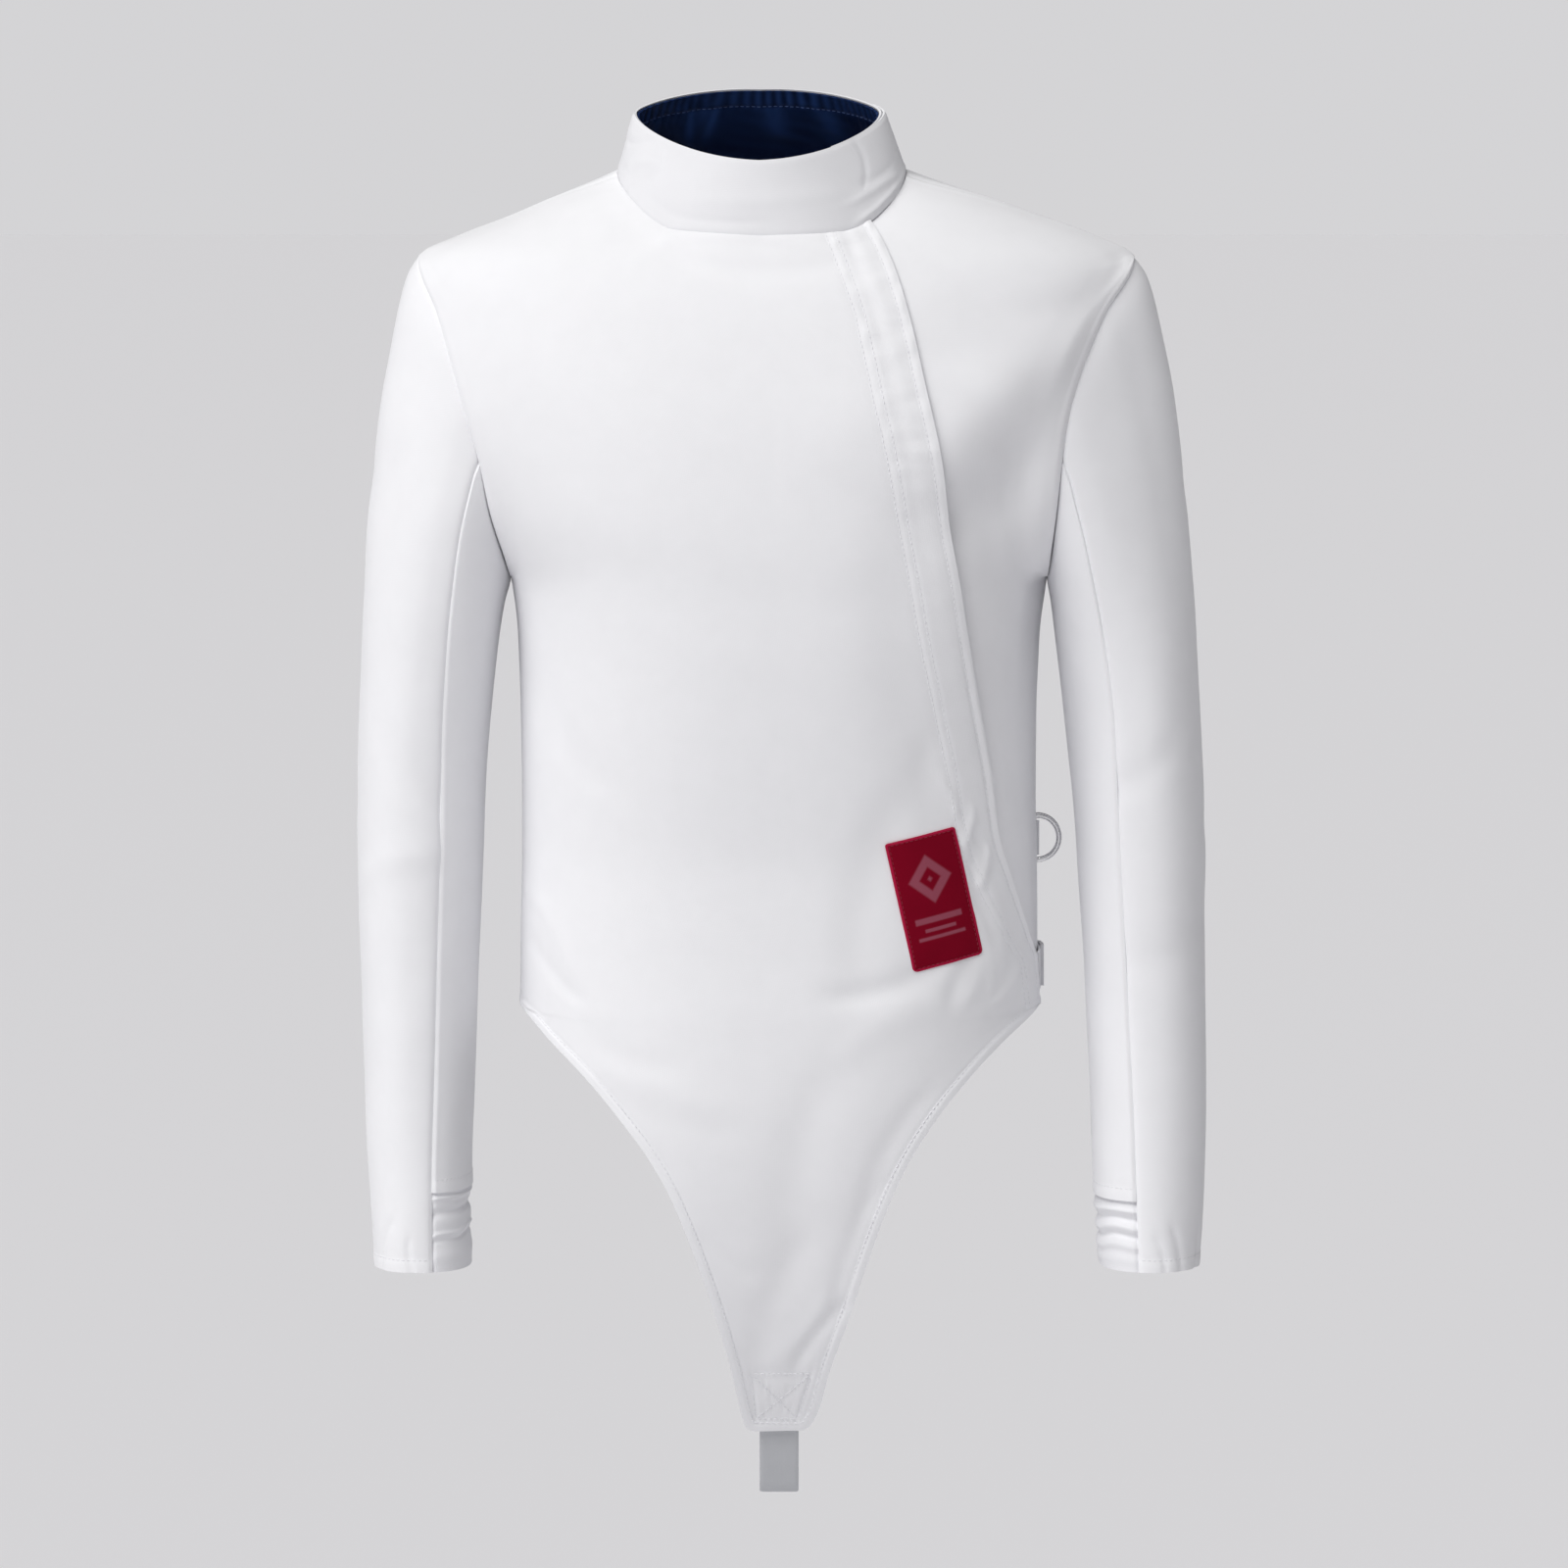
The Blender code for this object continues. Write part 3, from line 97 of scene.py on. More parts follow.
MIDDLE = ((-0.0255, 0.0), (-0.0119, -0.001), (0.0006, -0.0022), (0.0131, -0.0053), (0.0255, -0.0094),
          (0.0360, -0.0110), (0.0500, -0.0110))
NECK_MIDDLE = -0.0110
NECK_HALF_WIDTH = 0.0923
NECK_FRONT_DEPTH = 0.078
NECK_BACK_DEPTH = 0.058
NECK_POWER = 2.2
NECK_COLUMNS = ("angle", "height")
NECK = ((0, -0.0105), (35, -0.0065), (48, 0.0010), (58, 0.0090), (72, 0.0190), (90, 0.0285),
        (120, 0.0330), (150, 0.0352), (180, 0.0360))
# The bend over the shoulder is softened over this share of a zone each way.
SOFT_REACH = 0.26
ARMPIT_REACH = 0.20
SOFT_STEPS = 9
RIGHT = -1.0
LEFT = 1.0


def column(rows, names, name):
    """One named column of a table."""
    return np.array([row[names.index(name)] for row in rows], dtype=float)


def smooth(rows, names, name, at):
    """Monotone cubic curve through one column of a table, read at its first column's values."""
    x, y = column(rows, names, names[0]), column(rows, names, name)
    at = np.clip(np.asarray(at, dtype=float), x[0], x[-1])
    width = np.diff(x)
    rise = np.diff(y) / width
    slope = np.empty_like(y)
    slope[0], slope[-1] = rise[0], rise[-1]
    before, after = rise[:-1], rise[1:]
    level = before * after <= 0
    slope[1:-1] = np.where(level, 0.0, 2 * before * after / np.where(level, 1.0, before + after))
    k = np.clip(np.searchsorted(x, at, side="right") - 1, 0, len(x) - 2)
    u = (at - x[k]) / width[k]
    return ((1 + 2 * u) * (1 - u) ** 2 * y[k] + u * (1 - u) ** 2 * width[k] * slope[k]
            + u * u * (3 - 2 * u) * y[k + 1] + u * u * (u - 1) * width[k] * slope[k + 1])


def ease(u):
    """0 to 1 with a level start and end: u squared times three minus two u."""
    u = np.clip(u, 0.0, 1.0)
    return u * u * (3 - 2 * u)


def bell(distance, width):
    """Soft bump of one at no distance, which dies away over a width."""
    return np.exp(-(distance / width) ** 2)


def unit(vectors):
    """Vectors divided by their own length."""
    return vectors / np.maximum(np.linalg.norm(vectors, axis=-1, keepdims=True), 1e-12)


def power_sine(angle, power):
    """Sine to the power 2/power with its sign kept: sideways place on a super-ellipse."""
    s = np.sin(np.radians(angle))
    return np.sign(s) * np.abs(s) ** (2 / power)


def power_cosine(angle, power):
    """Cosine to the power 2/power with its sign kept: forward place on a super-ellipse."""
    c = np.cos(np.radians(angle))
    return np.sign(c) * np.abs(c) ** (2 / power)


def armhole_turn(height):
    """Degrees short of the side at which the armhole's edge stands: a half circle in height."""
    middle = (SHOULDER_HEIGHT + ARMPIT_HEIGHT) / 2
    half = (SHOULDER_HEIGHT - ARMPIT_HEIGHT) / 2
    level = np.clip((height - middle) / half, -1, 1)
    return ARMHOLE_TURN * np.sqrt(1 - level * level)


def section_sizes(height, left):
    """Middle, half width and power of the level section; the seam's reach sets the width."""
    middle = smooth(MIDDLE, MIDDLE_COLUMNS, "middle", height)
    power = smooth(BODY, BODY_COLUMNS, "power", height)
    reach = np.where(left, smooth(BODY, BODY_COLUMNS, "reach_left", height) - middle,
                     smooth(BODY, BODY_COLUMNS, "reach_right", height) + middle)
    return middle, reach / np.cos(np.radians(armhole_turn(height))) ** (2 / power), power


def section(angle, height):
    """Super-ellipse round the body at a level height; 0 is centre front, +90 the wearer's left."""
    middle, half_width, power = section_sizes(height, np.sin(np.radians(angle)) > 0)
    forward = np.cos(np.radians(angle)) >= 0
    depth = np.where(forward, smooth(BODY, BODY_COLUMNS, "front_depth", height),
                     smooth(BODY, BODY_COLUMNS, "back_depth", height))
    x = middle + half_width * power_sine(angle, power)
    return np.stack([x, -depth * power_cosine(angle, power), height + 0 * x], axis=-1)


def shoulder_height(x, y):
    """Height at which the level section passes through a place, found by halving."""
    low, high = np.full_like(x, -0.14), np.full_like(x, 0.05)
    for _ in range(22):
        mid = (low + high) / 2
        middle = smooth(MIDDLE, MIDDLE_COLUMNS, "middle", mid)
        middle, half_width, power = section_sizes(mid, x > middle)
        depth = np.where(y < 0, smooth(BODY, BODY_COLUMNS, "front_depth", mid),
                         smooth(BODY, BODY_COLUMNS, "back_depth", mid))
        outside = np.abs((x - middle) / half_width) ** power + np.abs(y / depth) ** power > 1
        high = np.where(outside, mid, high)
        low = np.where(outside, low, mid)
    return (low + high) / 2


def neck_turn(angle):
    """Angle from centre front to centre back, 0 to 180, for any angle round the neck."""
    return np.abs((np.asarray(angle, dtype=float) + 180) % 360 - 180)


def neckline(angle):
    """Neck seam: a super-ellipse in plan whose height is read from a table by angle."""
    cosine = power_cosine(angle, NECK_POWER)
    depth = np.where(cosine >= 0, NECK_FRONT_DEPTH, NECK_BACK_DEPTH)
    x = NECK_MIDDLE + NECK_HALF_WIDTH * power_sine(angle, NECK_POWER)
    return np.stack([x, -depth * cosine, smooth(NECK, NECK_COLUMNS, "height", neck_turn(angle))], axis=-1)


def row_sag(across):
    """Share of a row's drop across it: one at the centre, none and level at the seam."""
    return (1 + np.cos(np.pi * np.clip(across, 0, 1))) / 2


def shoulder(along, angle):
    """Straight way in plan from the neckline to a loop through the shoulder tips, at the
    height of the level sections, eased onto both ends."""
    neck = neckline(angle)
    across = np.minimum(neck_turn(angle), 180 - neck_turn(angle)) / 90
    tip = section(angle, SHOULDER_HEIGHT + (CENTRE_CHEST_HEIGHT - SHOULDER_HEIGHT) * row_sag(across))
    place = neck + (tip - neck) * along[..., None]
    place[..., 2] = shoulder_height(place[..., 0], place[..., 1])
    place[..., 2] += (neck[..., 2] - shoulder_height(neck[..., 0], neck[..., 1])) * (1 - along) ** 2
    place[..., 2] += (tip[..., 2] - shoulder_height(tip[..., 0], tip[..., 1])) * along ** 4
    return place


def body(up, angle):
    """The torso's surface. Up runs 0-1 over the tongue, 1-2 up the side, 2-3 up the armhole
    and 3-4 over the shoulder to the neck; angle runs round from centre front."""
    up, angle = np.broadcast_arrays(np.asarray(up, dtype=float), np.asarray(angle, dtype=float))
    turn = neck_turn(angle)
    tongue = HIP_HEIGHT + (TIP_HEIGHT - HIP_HEIGHT) * np.clip(1 - up, 0, 1) ** TONGUE_CLOSING
    side = HIP_HEIGHT + (ARMPIT_HEIGHT - HIP_HEIGHT) * np.clip(up - 1, 0, 1)
    hem = side - np.where(turn > 90, BACK_HEM_DIP * np.clip(2 - up, 0, 1) ** 2 * ease((turn - 90) / 70), 0)
    round_armhole = 180 * (1 - np.clip(up - 2, 0, 1))
    middle = (SHOULDER_HEIGHT + ARMPIT_HEIGHT) / 2
    edge = middle + (SHOULDER_HEIGHT - middle) * np.cos(np.radians(round_armhole))
    centre = ARMPIT_HEIGHT + (CENTRE_CHEST_HEIGHT - ARMPIT_HEIGHT) * np.clip(up - 2, 0, 1)
    swing = ARMHOLE_TURN * np.sin(np.radians(round_armhole))
    across = np.where(turn <= 90, turn / (90 - swing), (180 - turn) / (90 - swing))
    armhole = edge + (centre - edge) * row_sag(across)
    height = np.where(up < 1, tongue, np.where(up <= 2, hem, armhole))
    place = section(angle, height)
    high = up > 3
    if high.any():
        place[high] = shoulder(np.clip(4 - up[high], 0, 1), angle[high])
    return place


def edge_angle(up):
    """Angle of the seam that bounds the front: side seam, armhole, then shoulder seam."""
    up = np.asarray(up, dtype=float)
    swing = ARMHOLE_TURN * np.sin(np.radians(180 * (1 - np.clip(up - 2, 0, 1))))
    return 90 - np.where(up > 3, SHOULDER_SEAM_LEAD * (np.clip(up, 3, 4) - 3), swing)


def soft_body(up, angle):
    """The torso's surface with its bends over the shoulder and at the armpit rounded: a
    weighted mean of the surface a little way up and down, over a reach that closes at the
    seams and away from each bend."""
    up, angle = np.broadcast_arrays(np.asarray(up, dtype=float), np.asarray(angle, dtype=float))
    turn = neck_turn(angle)
    seam = edge_angle(up)
    inside = np.abs(np.where(turn <= 90, seam - turn, turn - np.where(up > 3, seam, 180 - seam)))
    reach = SOFT_REACH * ease((1 - np.abs(up - 3)) / 0.6) * ease(inside / 13)
    reach = reach + ARMPIT_REACH * ease((0.7 - np.abs(up - 2)) / 0.4) * ease(inside / 20)
    place = body(up, angle)
    bend = reach > 1e-4
    if bend.any():
        steps = np.linspace(-1, 1, SOFT_STEPS)
        weights = 1 + np.cos(np.pi * steps * 0.9)
        weights = weights / weights.sum()
        mean = sum(w * body(np.clip(up[bend] + reach[bend] * s, 0, 4), angle[bend])
                   for w, s in zip(weights, steps))
        place[bend] = mean
    return place


def grid_normals(grid):
    """Outward directions of a grid whose columns turn with the body angle and whose rows rise:
    the cross product of its two differences."""
    return unit(np.cross(np.gradient(grid, axis=1), np.gradient(grid, axis=0)))


def nearest(points, line):
    """Distance of each point from a line given by close samples."""
    flat = points.reshape(-1, 3)
    found = np.empty(len(flat))
    for start in range(0, len(flat), 4000):
        part = flat[start:start + 4000]
        found[start:start + 4000] = np.sqrt(((part[:, None, :] - line[None]) ** 2).sum(axis=-1).min(axis=1))
    return found.reshape(points.shape[:-1])


def creases(across, up, table):
    """Sum of soft troughs and ridges. Each runs between two places and has a width and a rise;
    its profile is a bell across it, and it fades past its ends."""
    total = np.zeros(np.shape(across))
    for x0, z0, x1, z1, width, rise in table:
        way = np.array([x1 - x0, z1 - z0])
        length = math.hypot(*way)
        way = way / length
        along = (across - x0) * way[0] + (up - z0) * way[1]
        off = -(across - x0) * way[1] + (up - z0) * way[0]
        bow = off - 0.10 * length * (1 - (2 * along / length - 1) ** 2) * np.sign(rise) * 0.5
        past = np.maximum(np.maximum(-along, along - length), 0.0)
        total += rise * bell(bow, width) * bell(past, width * 1.8)
    return total


def unevenness(across, up, size, seed):
    """Gentle uneven swell of the cloth: five waves of mixed directions added up."""
    draw = np.random.default_rng(seed)
    total = np.zeros(np.shape(across))
    for _ in range(5):
        heading, phase, scale = draw.uniform(0, math.pi), draw.uniform(0, 2 * math.pi), draw.uniform(0.6, 1.6)
        total += np.sin((across * math.cos(heading) + up * math.sin(heading)) * 2 * math.pi / (size * scale) + phase)
    return total / 5


def cloth_wall(name, outer, inner, material, body_name="jacket"):
    """Closed wall between two grids of points, with lengths along and across as its UV map."""
    rows, columns = outer.shape[:2]
    count = rows * columns
    r, c = np.meshgrid(np.arange(rows - 1), np.arange(columns - 1), indexing="ij")
    a = (r * columns + c).ravel()
    top = np.stack([a, a + 1, a + columns + 1, a + columns], axis=-1)
    rim = np.concatenate([np.arange(columns), np.arange(1, rows) * columns + columns - 1,
                          (rows - 1) * columns + np.arange(columns - 2, -1, -1),
                          np.arange(rows - 2, 0, -1) * columns])
    after = np.roll(rim, -1)
    edge = np.stack([after, rim, rim + count, after + count], axis=-1)
    faces = np.concatenate([top, top[:, ::-1] + count, edge])
    points = np.concatenate([outer.reshape(-1, 3), inner.reshape(-1, 3)])
    across = np.concatenate([np.zeros((rows, 1)),
                             np.cumsum(np.linalg.norm(np.diff(outer, axis=1), axis=-1), axis=1)], axis=1)
    along = np.concatenate([np.zeros((1, columns)),
                            np.cumsum(np.linalg.norm(np.diff(outer, axis=0), axis=-1), axis=0)], axis=0)
    across = across - across[:, -1:] / 2
    flat = np.stack([across, along], axis=-1).reshape(-1, 2)
    return cloth_mesh(name, points, faces, np.concatenate([flat, flat]), material, body_name)


def cloth_mesh(name, points, faces, flat, material, body_name):
    """Mesh object from points, four-sided faces and a flat place for each point."""
    mesh = bpy.data.meshes.new(name)
    mesh.vertices.add(len(points))
    mesh.vertices.foreach_set("co", points.ravel())
    mesh.loops.add(faces.size)
    mesh.loops.foreach_set("vertex_index", faces.ravel().astype(np.int32))
    mesh.polygons.add(len(faces))
    mesh.polygons.foreach_set("loop_start", (np.arange(len(faces)) * faces.shape[1]).astype(np.int32))
    mesh.update(calc_edges=True)
    mesh.uv_layers.new(name="UVMap").data.foreach_set("uv", flat[faces.ravel()].ravel())
    mesh.shade_smooth()
    mesh.set_sharp_from_angle(angle=math.radians(50))
    mesh.materials.append(material)
    made = bpy.data.objects.new(name, mesh)
    bpy.context.scene.collection.objects.link(made)
    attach(made, body_name)
    return made


def thread_line(path, normals, stitch, gap, thick):
    """Points and faces of a row of stitches along a path: each a flat six-sided lozenge that
    lies on the cloth, with its two ends sunk into it."""
    length = np.concatenate([[0], np.cumsum(np.linalg.norm(np.diff(path, axis=0), axis=1))])
    starts = np.arange(gap, length[-1] - stitch, stitch + gap)
    shares = np.array([0.0, 0.2, 0.5, 0.8, 1.0])
    at = starts[:, None] + shares[None] * stitch
    place = np.stack([np.interp(at, length, path[:, k]) for k in range(3)], axis=-1)
    out = unit(np.stack([np.interp(at, length, normals[:, k]) for k in range(3)], axis=-1))
    ahead = unit(np.gradient(place, axis=1))
    side = unit(np.cross(ahead, out))
    size = thick * np.array([0.35, 0.9, 1.0, 0.9, 0.35])
    lift = thick * np.array([-0.7, 0.35, 0.6, 0.35, -0.7])
    turns = np.radians(np.arange(6) * 60.0)
    ring = (side[:, :, None] * np.cos(turns)[None, None, :, None]
            + out[:, :, None] * np.sin(turns)[None, None, :, None]) * size[None, :, None, None]
    points = place[:, :, None] + out[:, :, None] * lift[None, :, None, None] + ring
    count = len(starts)
    base = (np.arange(count) * 30)[:, None, None]
    step, turn = np.meshgrid(np.arange(4), np.arange(6), indexing="ij")
    a, b = step * 6 + turn, step * 6 + (turn + 1) % 6
    faces = (base[..., None] + np.stack([a, a + 6, b + 6, b], axis=-1)[None]).reshape(-1, 4)
    return points.reshape(-1, 3), faces


def stitching(name, lines, material, stitch=0.0027, gap=0.0009, thick=0.00026):
    """One piece made of the stitches of several lines."""
    all_points, all_faces, offset = [], [], 0
    for path, normals in lines:
        points, faces = thread_line(path, normals, stitch, gap, thick)
        all_points.append(points)
        all_faces.append(faces + offset)
        offset += len(points)
    points = np.concatenate(all_points)
    return cloth_mesh(name, points, np.concatenate(all_faces), points[:, [0, 2]] * 1.0, material, "jacket")


# White cloth, a dense matte weave of the whole jacket, and the thread it is sewn with.
WHITE = (0.86, 0.86, 0.885)
THREAD = (0.80, 0.80, 0.83)
WEAVE_PITCH = 0.0011


def shader_of(name, colour, rough):
    """New material with its own Principled shader."""
    material = bpy.data.materials.new(name)
    material.use_nodes = True
    shader = material.node_tree.nodes["Principled BSDF"]
    shader.inputs["Base Color"].default_value = (*colour, 1.0)
    shader.inputs["Roughness"].default_value = rough
    return material, shader


def woven(name, colour, rough, pitch, depth, sheen, mottling=0.02):
    """Cloth with two crossed sets of threads along the UV map as a fine bump, and slight
    uneven tone."""
    material, shader = shader_of(name, colour, rough)
    tree = material.node_tree
    place = tree.nodes.new("ShaderNodeTexCoord")
    heights = []
    for direction in ("X", "Y"):
        wave = tree.nodes.new("ShaderNodeTexWave")
        wave.wave_type = "BANDS"
        wave.bands_direction = direction
        wave.inputs["Scale"].default_value = 0.314 / pitch
        wave.inputs["Distortion"].default_value = 1.2
        wave.inputs["Detail"].default_value = 1.0
        tree.links.new(place.outputs["UV"], wave.inputs["Vector"])
        heights.append(wave)
    both = tree.nodes.new("ShaderNodeMath")
    both.operation = "MAXIMUM"
    tree.links.new(heights[0].outputs["Fac"], both.inputs[0])
    tree.links.new(heights[1].outputs["Fac"], both.inputs[1])
    bump = tree.nodes.new("ShaderNodeBump")
    bump.inputs["Strength"].default_value = 0.35
    bump.inputs["Distance"].default_value = depth
    tree.links.new(both.outputs["Value"], bump.inputs["Height"])
    tree.links.new(bump.outputs["Normal"], shader.inputs["Normal"])
    tone = tree.nodes.new("ShaderNodeTexNoise")
    tone.inputs["Scale"].default_value = 60.0
    tone.inputs["Detail"].default_value = 3.0
    tree.links.new(place.outputs["Object"], tone.inputs["Vector"])
    ramp = tree.nodes.new("ShaderNodeValToRGB")
    ramp.color_ramp.elements[0].color = (*[c * (1 - mottling) for c in colour], 1.0)
    ramp.color_ramp.elements[1].color = (*[min(c * (1 + mottling), 1.0) for c in colour], 1.0)
    tree.links.new(tone.outputs["Fac"], ramp.inputs["Fac"])
    tree.links.new(ramp.outputs["Color"], shader.inputs["Base Color"])
    shader.inputs["Sheen Weight"].default_value = sheen
    shader.inputs["Sheen Roughness"].default_value = 0.5
    return material


white_cloth = woven("white_cloth", WHITE, 0.82, WEAVE_PITCH, 0.00006, 0.12)
white_thread, _ = shader_of("white_thread", THREAD, 0.6)


# Wide front panel.
# One cut piece of white cloth from the wearer's right seams to the lap, with the leg-cut
# tongue below it. The leg cut is turned under and topstitched, and the lap is sewn twice.
LEG_COLUMNS = ("height", "right", "left")
LEG = (
    (-0.7743, 0.0207, 0.0185),
    (-0.7608, 0.0244, 0.0251),
    (-0.7338, 0.0300, 0.0319),
    (-0.6939, 0.0405, 0.0449),
    (-0.6543, 0.0534, 0.0572),
    (-0.6152, 0.0688, 0.0714),
    (-0.5899, 0.0829, 0.0837),
    (-0.5645, 0.1020, 0.1003),
    (-0.5408, 0.1226, 0.1202),
    (-0.5185, 0.1470, 0.1434),
    (-0.5085, 0.1580, 0.1575),
    (-0.5030, 0.1662, 0.1660),
)
LAP_COLUMNS = ("height", "reach")
LAP = ((-0.5030, 0.1660), (-0.4735, 0.1645), (-0.4551, 0.1599), (-0.4206, 0.1496), (-0.3875, 0.1397),
       (-0.3493, 0.1344), (-0.3046, 0.1265), (-0.2605, 0.1187), (-0.2044, 0.1103), (-0.1552, 0.1022),
       (-0.1065, 0.0918), (-0.0641, 0.0827), (-0.0280, 0.0718), (0.0008, 0.0568), (0.0300, 0.0300))
BAND_WIDTH = 0.028
LAP_EASE = 0.045
LAP_FLAT = 0.040
LAP_FADE = 0.075
EDGE_STITCH = 0.0063
BAND_STITCHES = (0.0280, 0.0342)
HEM_STITCH = 0.0058
PUCKER = 0.00022
PUCKER_SIZE = 0.017
TIP_ROUND = 0.0050
TONGUE_ROW_POWER = 0.7
HIP_ROW_POWER = 1.3
LEG_CORNER = 0.89
TIP_ROWS = (0.0012, 0.0028, 0.0048, 0.0075)
BLOTCH = 0.00060
LAP_RIM = 0.00060
FRONT_ROWS = (84, 104, 56, 22)
# Creases of the front: from x, z to x, z, then width and rise, in metres.
FRONT_CREASES = (
    (-0.070, -0.0130, 0.036, -0.0185, 0.0040, 0.0009),
    (-0.060, -0.0250, 0.030, -0.0290, 0.0070, -0.0010),
    (-0.095, -0.0050, -0.060, -0.0260, 0.0080, -0.0008),
    (0.046, -0.0330, 0.058, -0.0600, 0.0060, -0.0007),
    (-0.120, -0.215, 0.050, -0.236, 0.0240, -0.0010),
    (0.080, -0.203, 0.086, -0.326, 0.0220, -0.0016),
    (0.068, -0.378, 0.050, -0.462, 0.0160, -0.0016),
    (0.046, -0.486, 0.096, -0.470, 0.0085, -0.0017),
    (0.092, -0.340, 0.097, -0.372, 0.0100, -0.0010),
    (0.104, -0.351, 0.111, -0.371, 0.0022, 0.0009),
    (0.122, -0.374, 0.118, -0.390, 0.0030, 0.0013),
    (0.132, -0.398, 0.127, -0.418, 0.0026, 0.0015),
    (0.136, -0.428, 0.140, -0.468, 0.0060, 0.0014),
    (0.126, -0.440, 0.134, -0.484, 0.0024, 0.0010),
    (0.151, -0.478, 0.141, -0.492, 0.0034, 0.0012),
    (0.122, -0.404, 0.129, -0.436, 0.0030, -0.0012),
    (0.124, -0.388, 0.130, -0.394, 0.0030, -0.0010),
    (0.052, -0.512, 0.100, -0.493, 0.0110, 0.0007),
    (0.118, -0.468, 0.109, -0.488, 0.0056, -0.0013),
    (0.128, -0.470, 0.122, -0.487, 0.0044, 0.0008),
    (-0.153, -0.434, -0.133, -0.470, 0.0050, 0.0006),
    (-0.156, -0.460, -0.130, -0.489, 0.0045, -0.0007),
    (-0.106, -0.523, -0.080, -0.531, 0.0090, -0.0006),
    (-0.108, -0.538, -0.062, -0.549, 0.0100, 0.0004),
    (-0.090, -0.558, -0.040, -0.571, 0.0110, -0.0006),
    (0.0215, -0.560, 0.008, -0.657, 0.0180, -0.0017),
    (0.008, -0.657, -0.014, -0.727, 0.0120, -0.0012),
    (0.038, -0.690, 0.012, -0.7265, 0.0045, -0.0013),
    (0.028, -0.686, 0.001, -0.722, 0.0060, 0.0006),
    (-0.043, -0.648, -0.022, -0.664, 0.0060, -0.0006),
    (0.087, -0.556, 0.054, -0.618, 0.0075, -0.0010),
    (0.062, -0.612, 0.036, -0.680, 0.0060, -0.0007),
    (-0.150, -0.300, -0.120, -0.345, 0.0110, -0.0008),
)
# Fall of the chest beside the armpit, which the lap and the narrow panel share.
CHEST_CREASES = (
    (0.132, -0.112, 0.185, -0.084, 0.0260, 0.0052),
    (0.124, -0.190, 0.162, -0.176, 0.0280, -0.0042),
    (0.060, -0.118, 0.115, -0.112, 0.0300, 0.0012),
)


def leg_angle(up, side):
    """Angle of the leg cut on one side, or of the seam above the hip."""
    up = np.asarray(up, dtype=float)
    height = HIP_HEIGHT + (TIP_HEIGHT - HIP_HEIGHT) * np.clip(1 - up, 0, 1) ** TONGUE_CLOSING
    reach = smooth(LEG, LEG_COLUMNS, "left" if side > 0 else "right", height)
    _, half_width, power = section_sizes(height, np.full(height.shape, side > 0))
    cut = np.degrees(np.arcsin(np.clip(reach / half_width, 0, 0.9995) ** (power / 2)))
    if side == RIGHT:
        cut = cut + (edge_angle(np.ones_like(up)) - cut) * ease((up - LEG_CORNER) / (1 - LEG_CORNER))
    return np.where(up < 1, cut, edge_angle(up))


def lap_angle(up):
    """Angle of the lap's edge, found by halving where the surface meets the lap's line."""
    low, high = np.zeros_like(up), np.full_like(up, 86.0)
    for _ in range(22):
        mid = (low + high) / 2
        place = soft_body(up, mid)
        beyond = place[..., 0] > smooth(LAP, LAP_COLUMNS, "reach", place[..., 2])
        high = np.where(beyond, mid, high)
        low = np.where(beyond, low, mid)
    return (low + high) / 2


def arc_angles(up, start, stop, distances):
    """Angles reached from a start by going each distance towards a stop along every row."""
    share = np.linspace(0, 1, 81)
    angles = start[:, None] + (stop - start)[:, None] * share[None]
    places = body(np.repeat(up[:, None], len(share), axis=1), angles)
    steps = np.linalg.norm(np.diff(places, axis=1), axis=-1)
    lengths = np.concatenate([np.zeros((len(up), 1)), np.cumsum(steps, axis=1)], axis=1)
    wanted = np.broadcast_to(distances, (len(up), np.shape(distances)[-1]))
    return np.array([np.interp(w, l, a) for w, l, a in zip(wanted, lengths, angles)]), lengths[:, -1]


def panel_rows(counts, first):
    """Row places, with a count for each zone from the first on."""
    rows = [np.linspace(first + k, first + k + 1, n, endpoint=False) for k, n in enumerate(counts)]
    return np.concatenate(rows + [[float(first + len(counts))]])


def edge_spacing(dense, step, total):
    """Distances from an edge: even close steps, then growing steps up to a total."""
    spots = list(np.arange(0, dense + 1e-9, step))
    while spots[-1] < total:
        spots.append(spots[-1] + min(max((spots[-1] - dense) * 0.35, step * 1.3), 0.0036))
    return np.array(spots[:-1])


def line_on(grid, normals, share):
    """Path down a grid at a place between its columns."""
    low = int(share)
    part = share - low
    path = grid[:, low] * (1 - part) + grid[:, min(low + 1, grid.shape[1] - 1)] * part
    lean = normals[:, low] * (1 - part) + normals[:, min(low + 1, grid.shape[1] - 1)] * part
    return path, unit(lean)


def section_normal(points):
    """Outward direction at points of the level sections, from the gradient of their super-ellipse."""
    middle, half_width, power = section_sizes(points[..., 2], points[..., 0] > 0)
    depth = smooth(BODY, BODY_COLUMNS, "front_depth", points[..., 2])
    x, y = (points[..., 0] - middle) / half_width, points[..., 1] / depth
    flat = np.stack([np.sign(x) * np.abs(x) ** (power - 1) / half_width,
                     np.sign(y) * np.abs(y) ** (power - 1) / depth, 0 * x], axis=-1)
    return unit(flat)


def front_at(x, height):
    """Places on the front below the armpit at a sideways place and a height."""
    _, half_width, power = section_sizes(height, x > 0)
    angle = np.degrees(np.arcsin(np.clip(np.abs(x / half_width), 0, 0.999) ** (power / 2))) * np.sign(x)
    return section(angle, height)


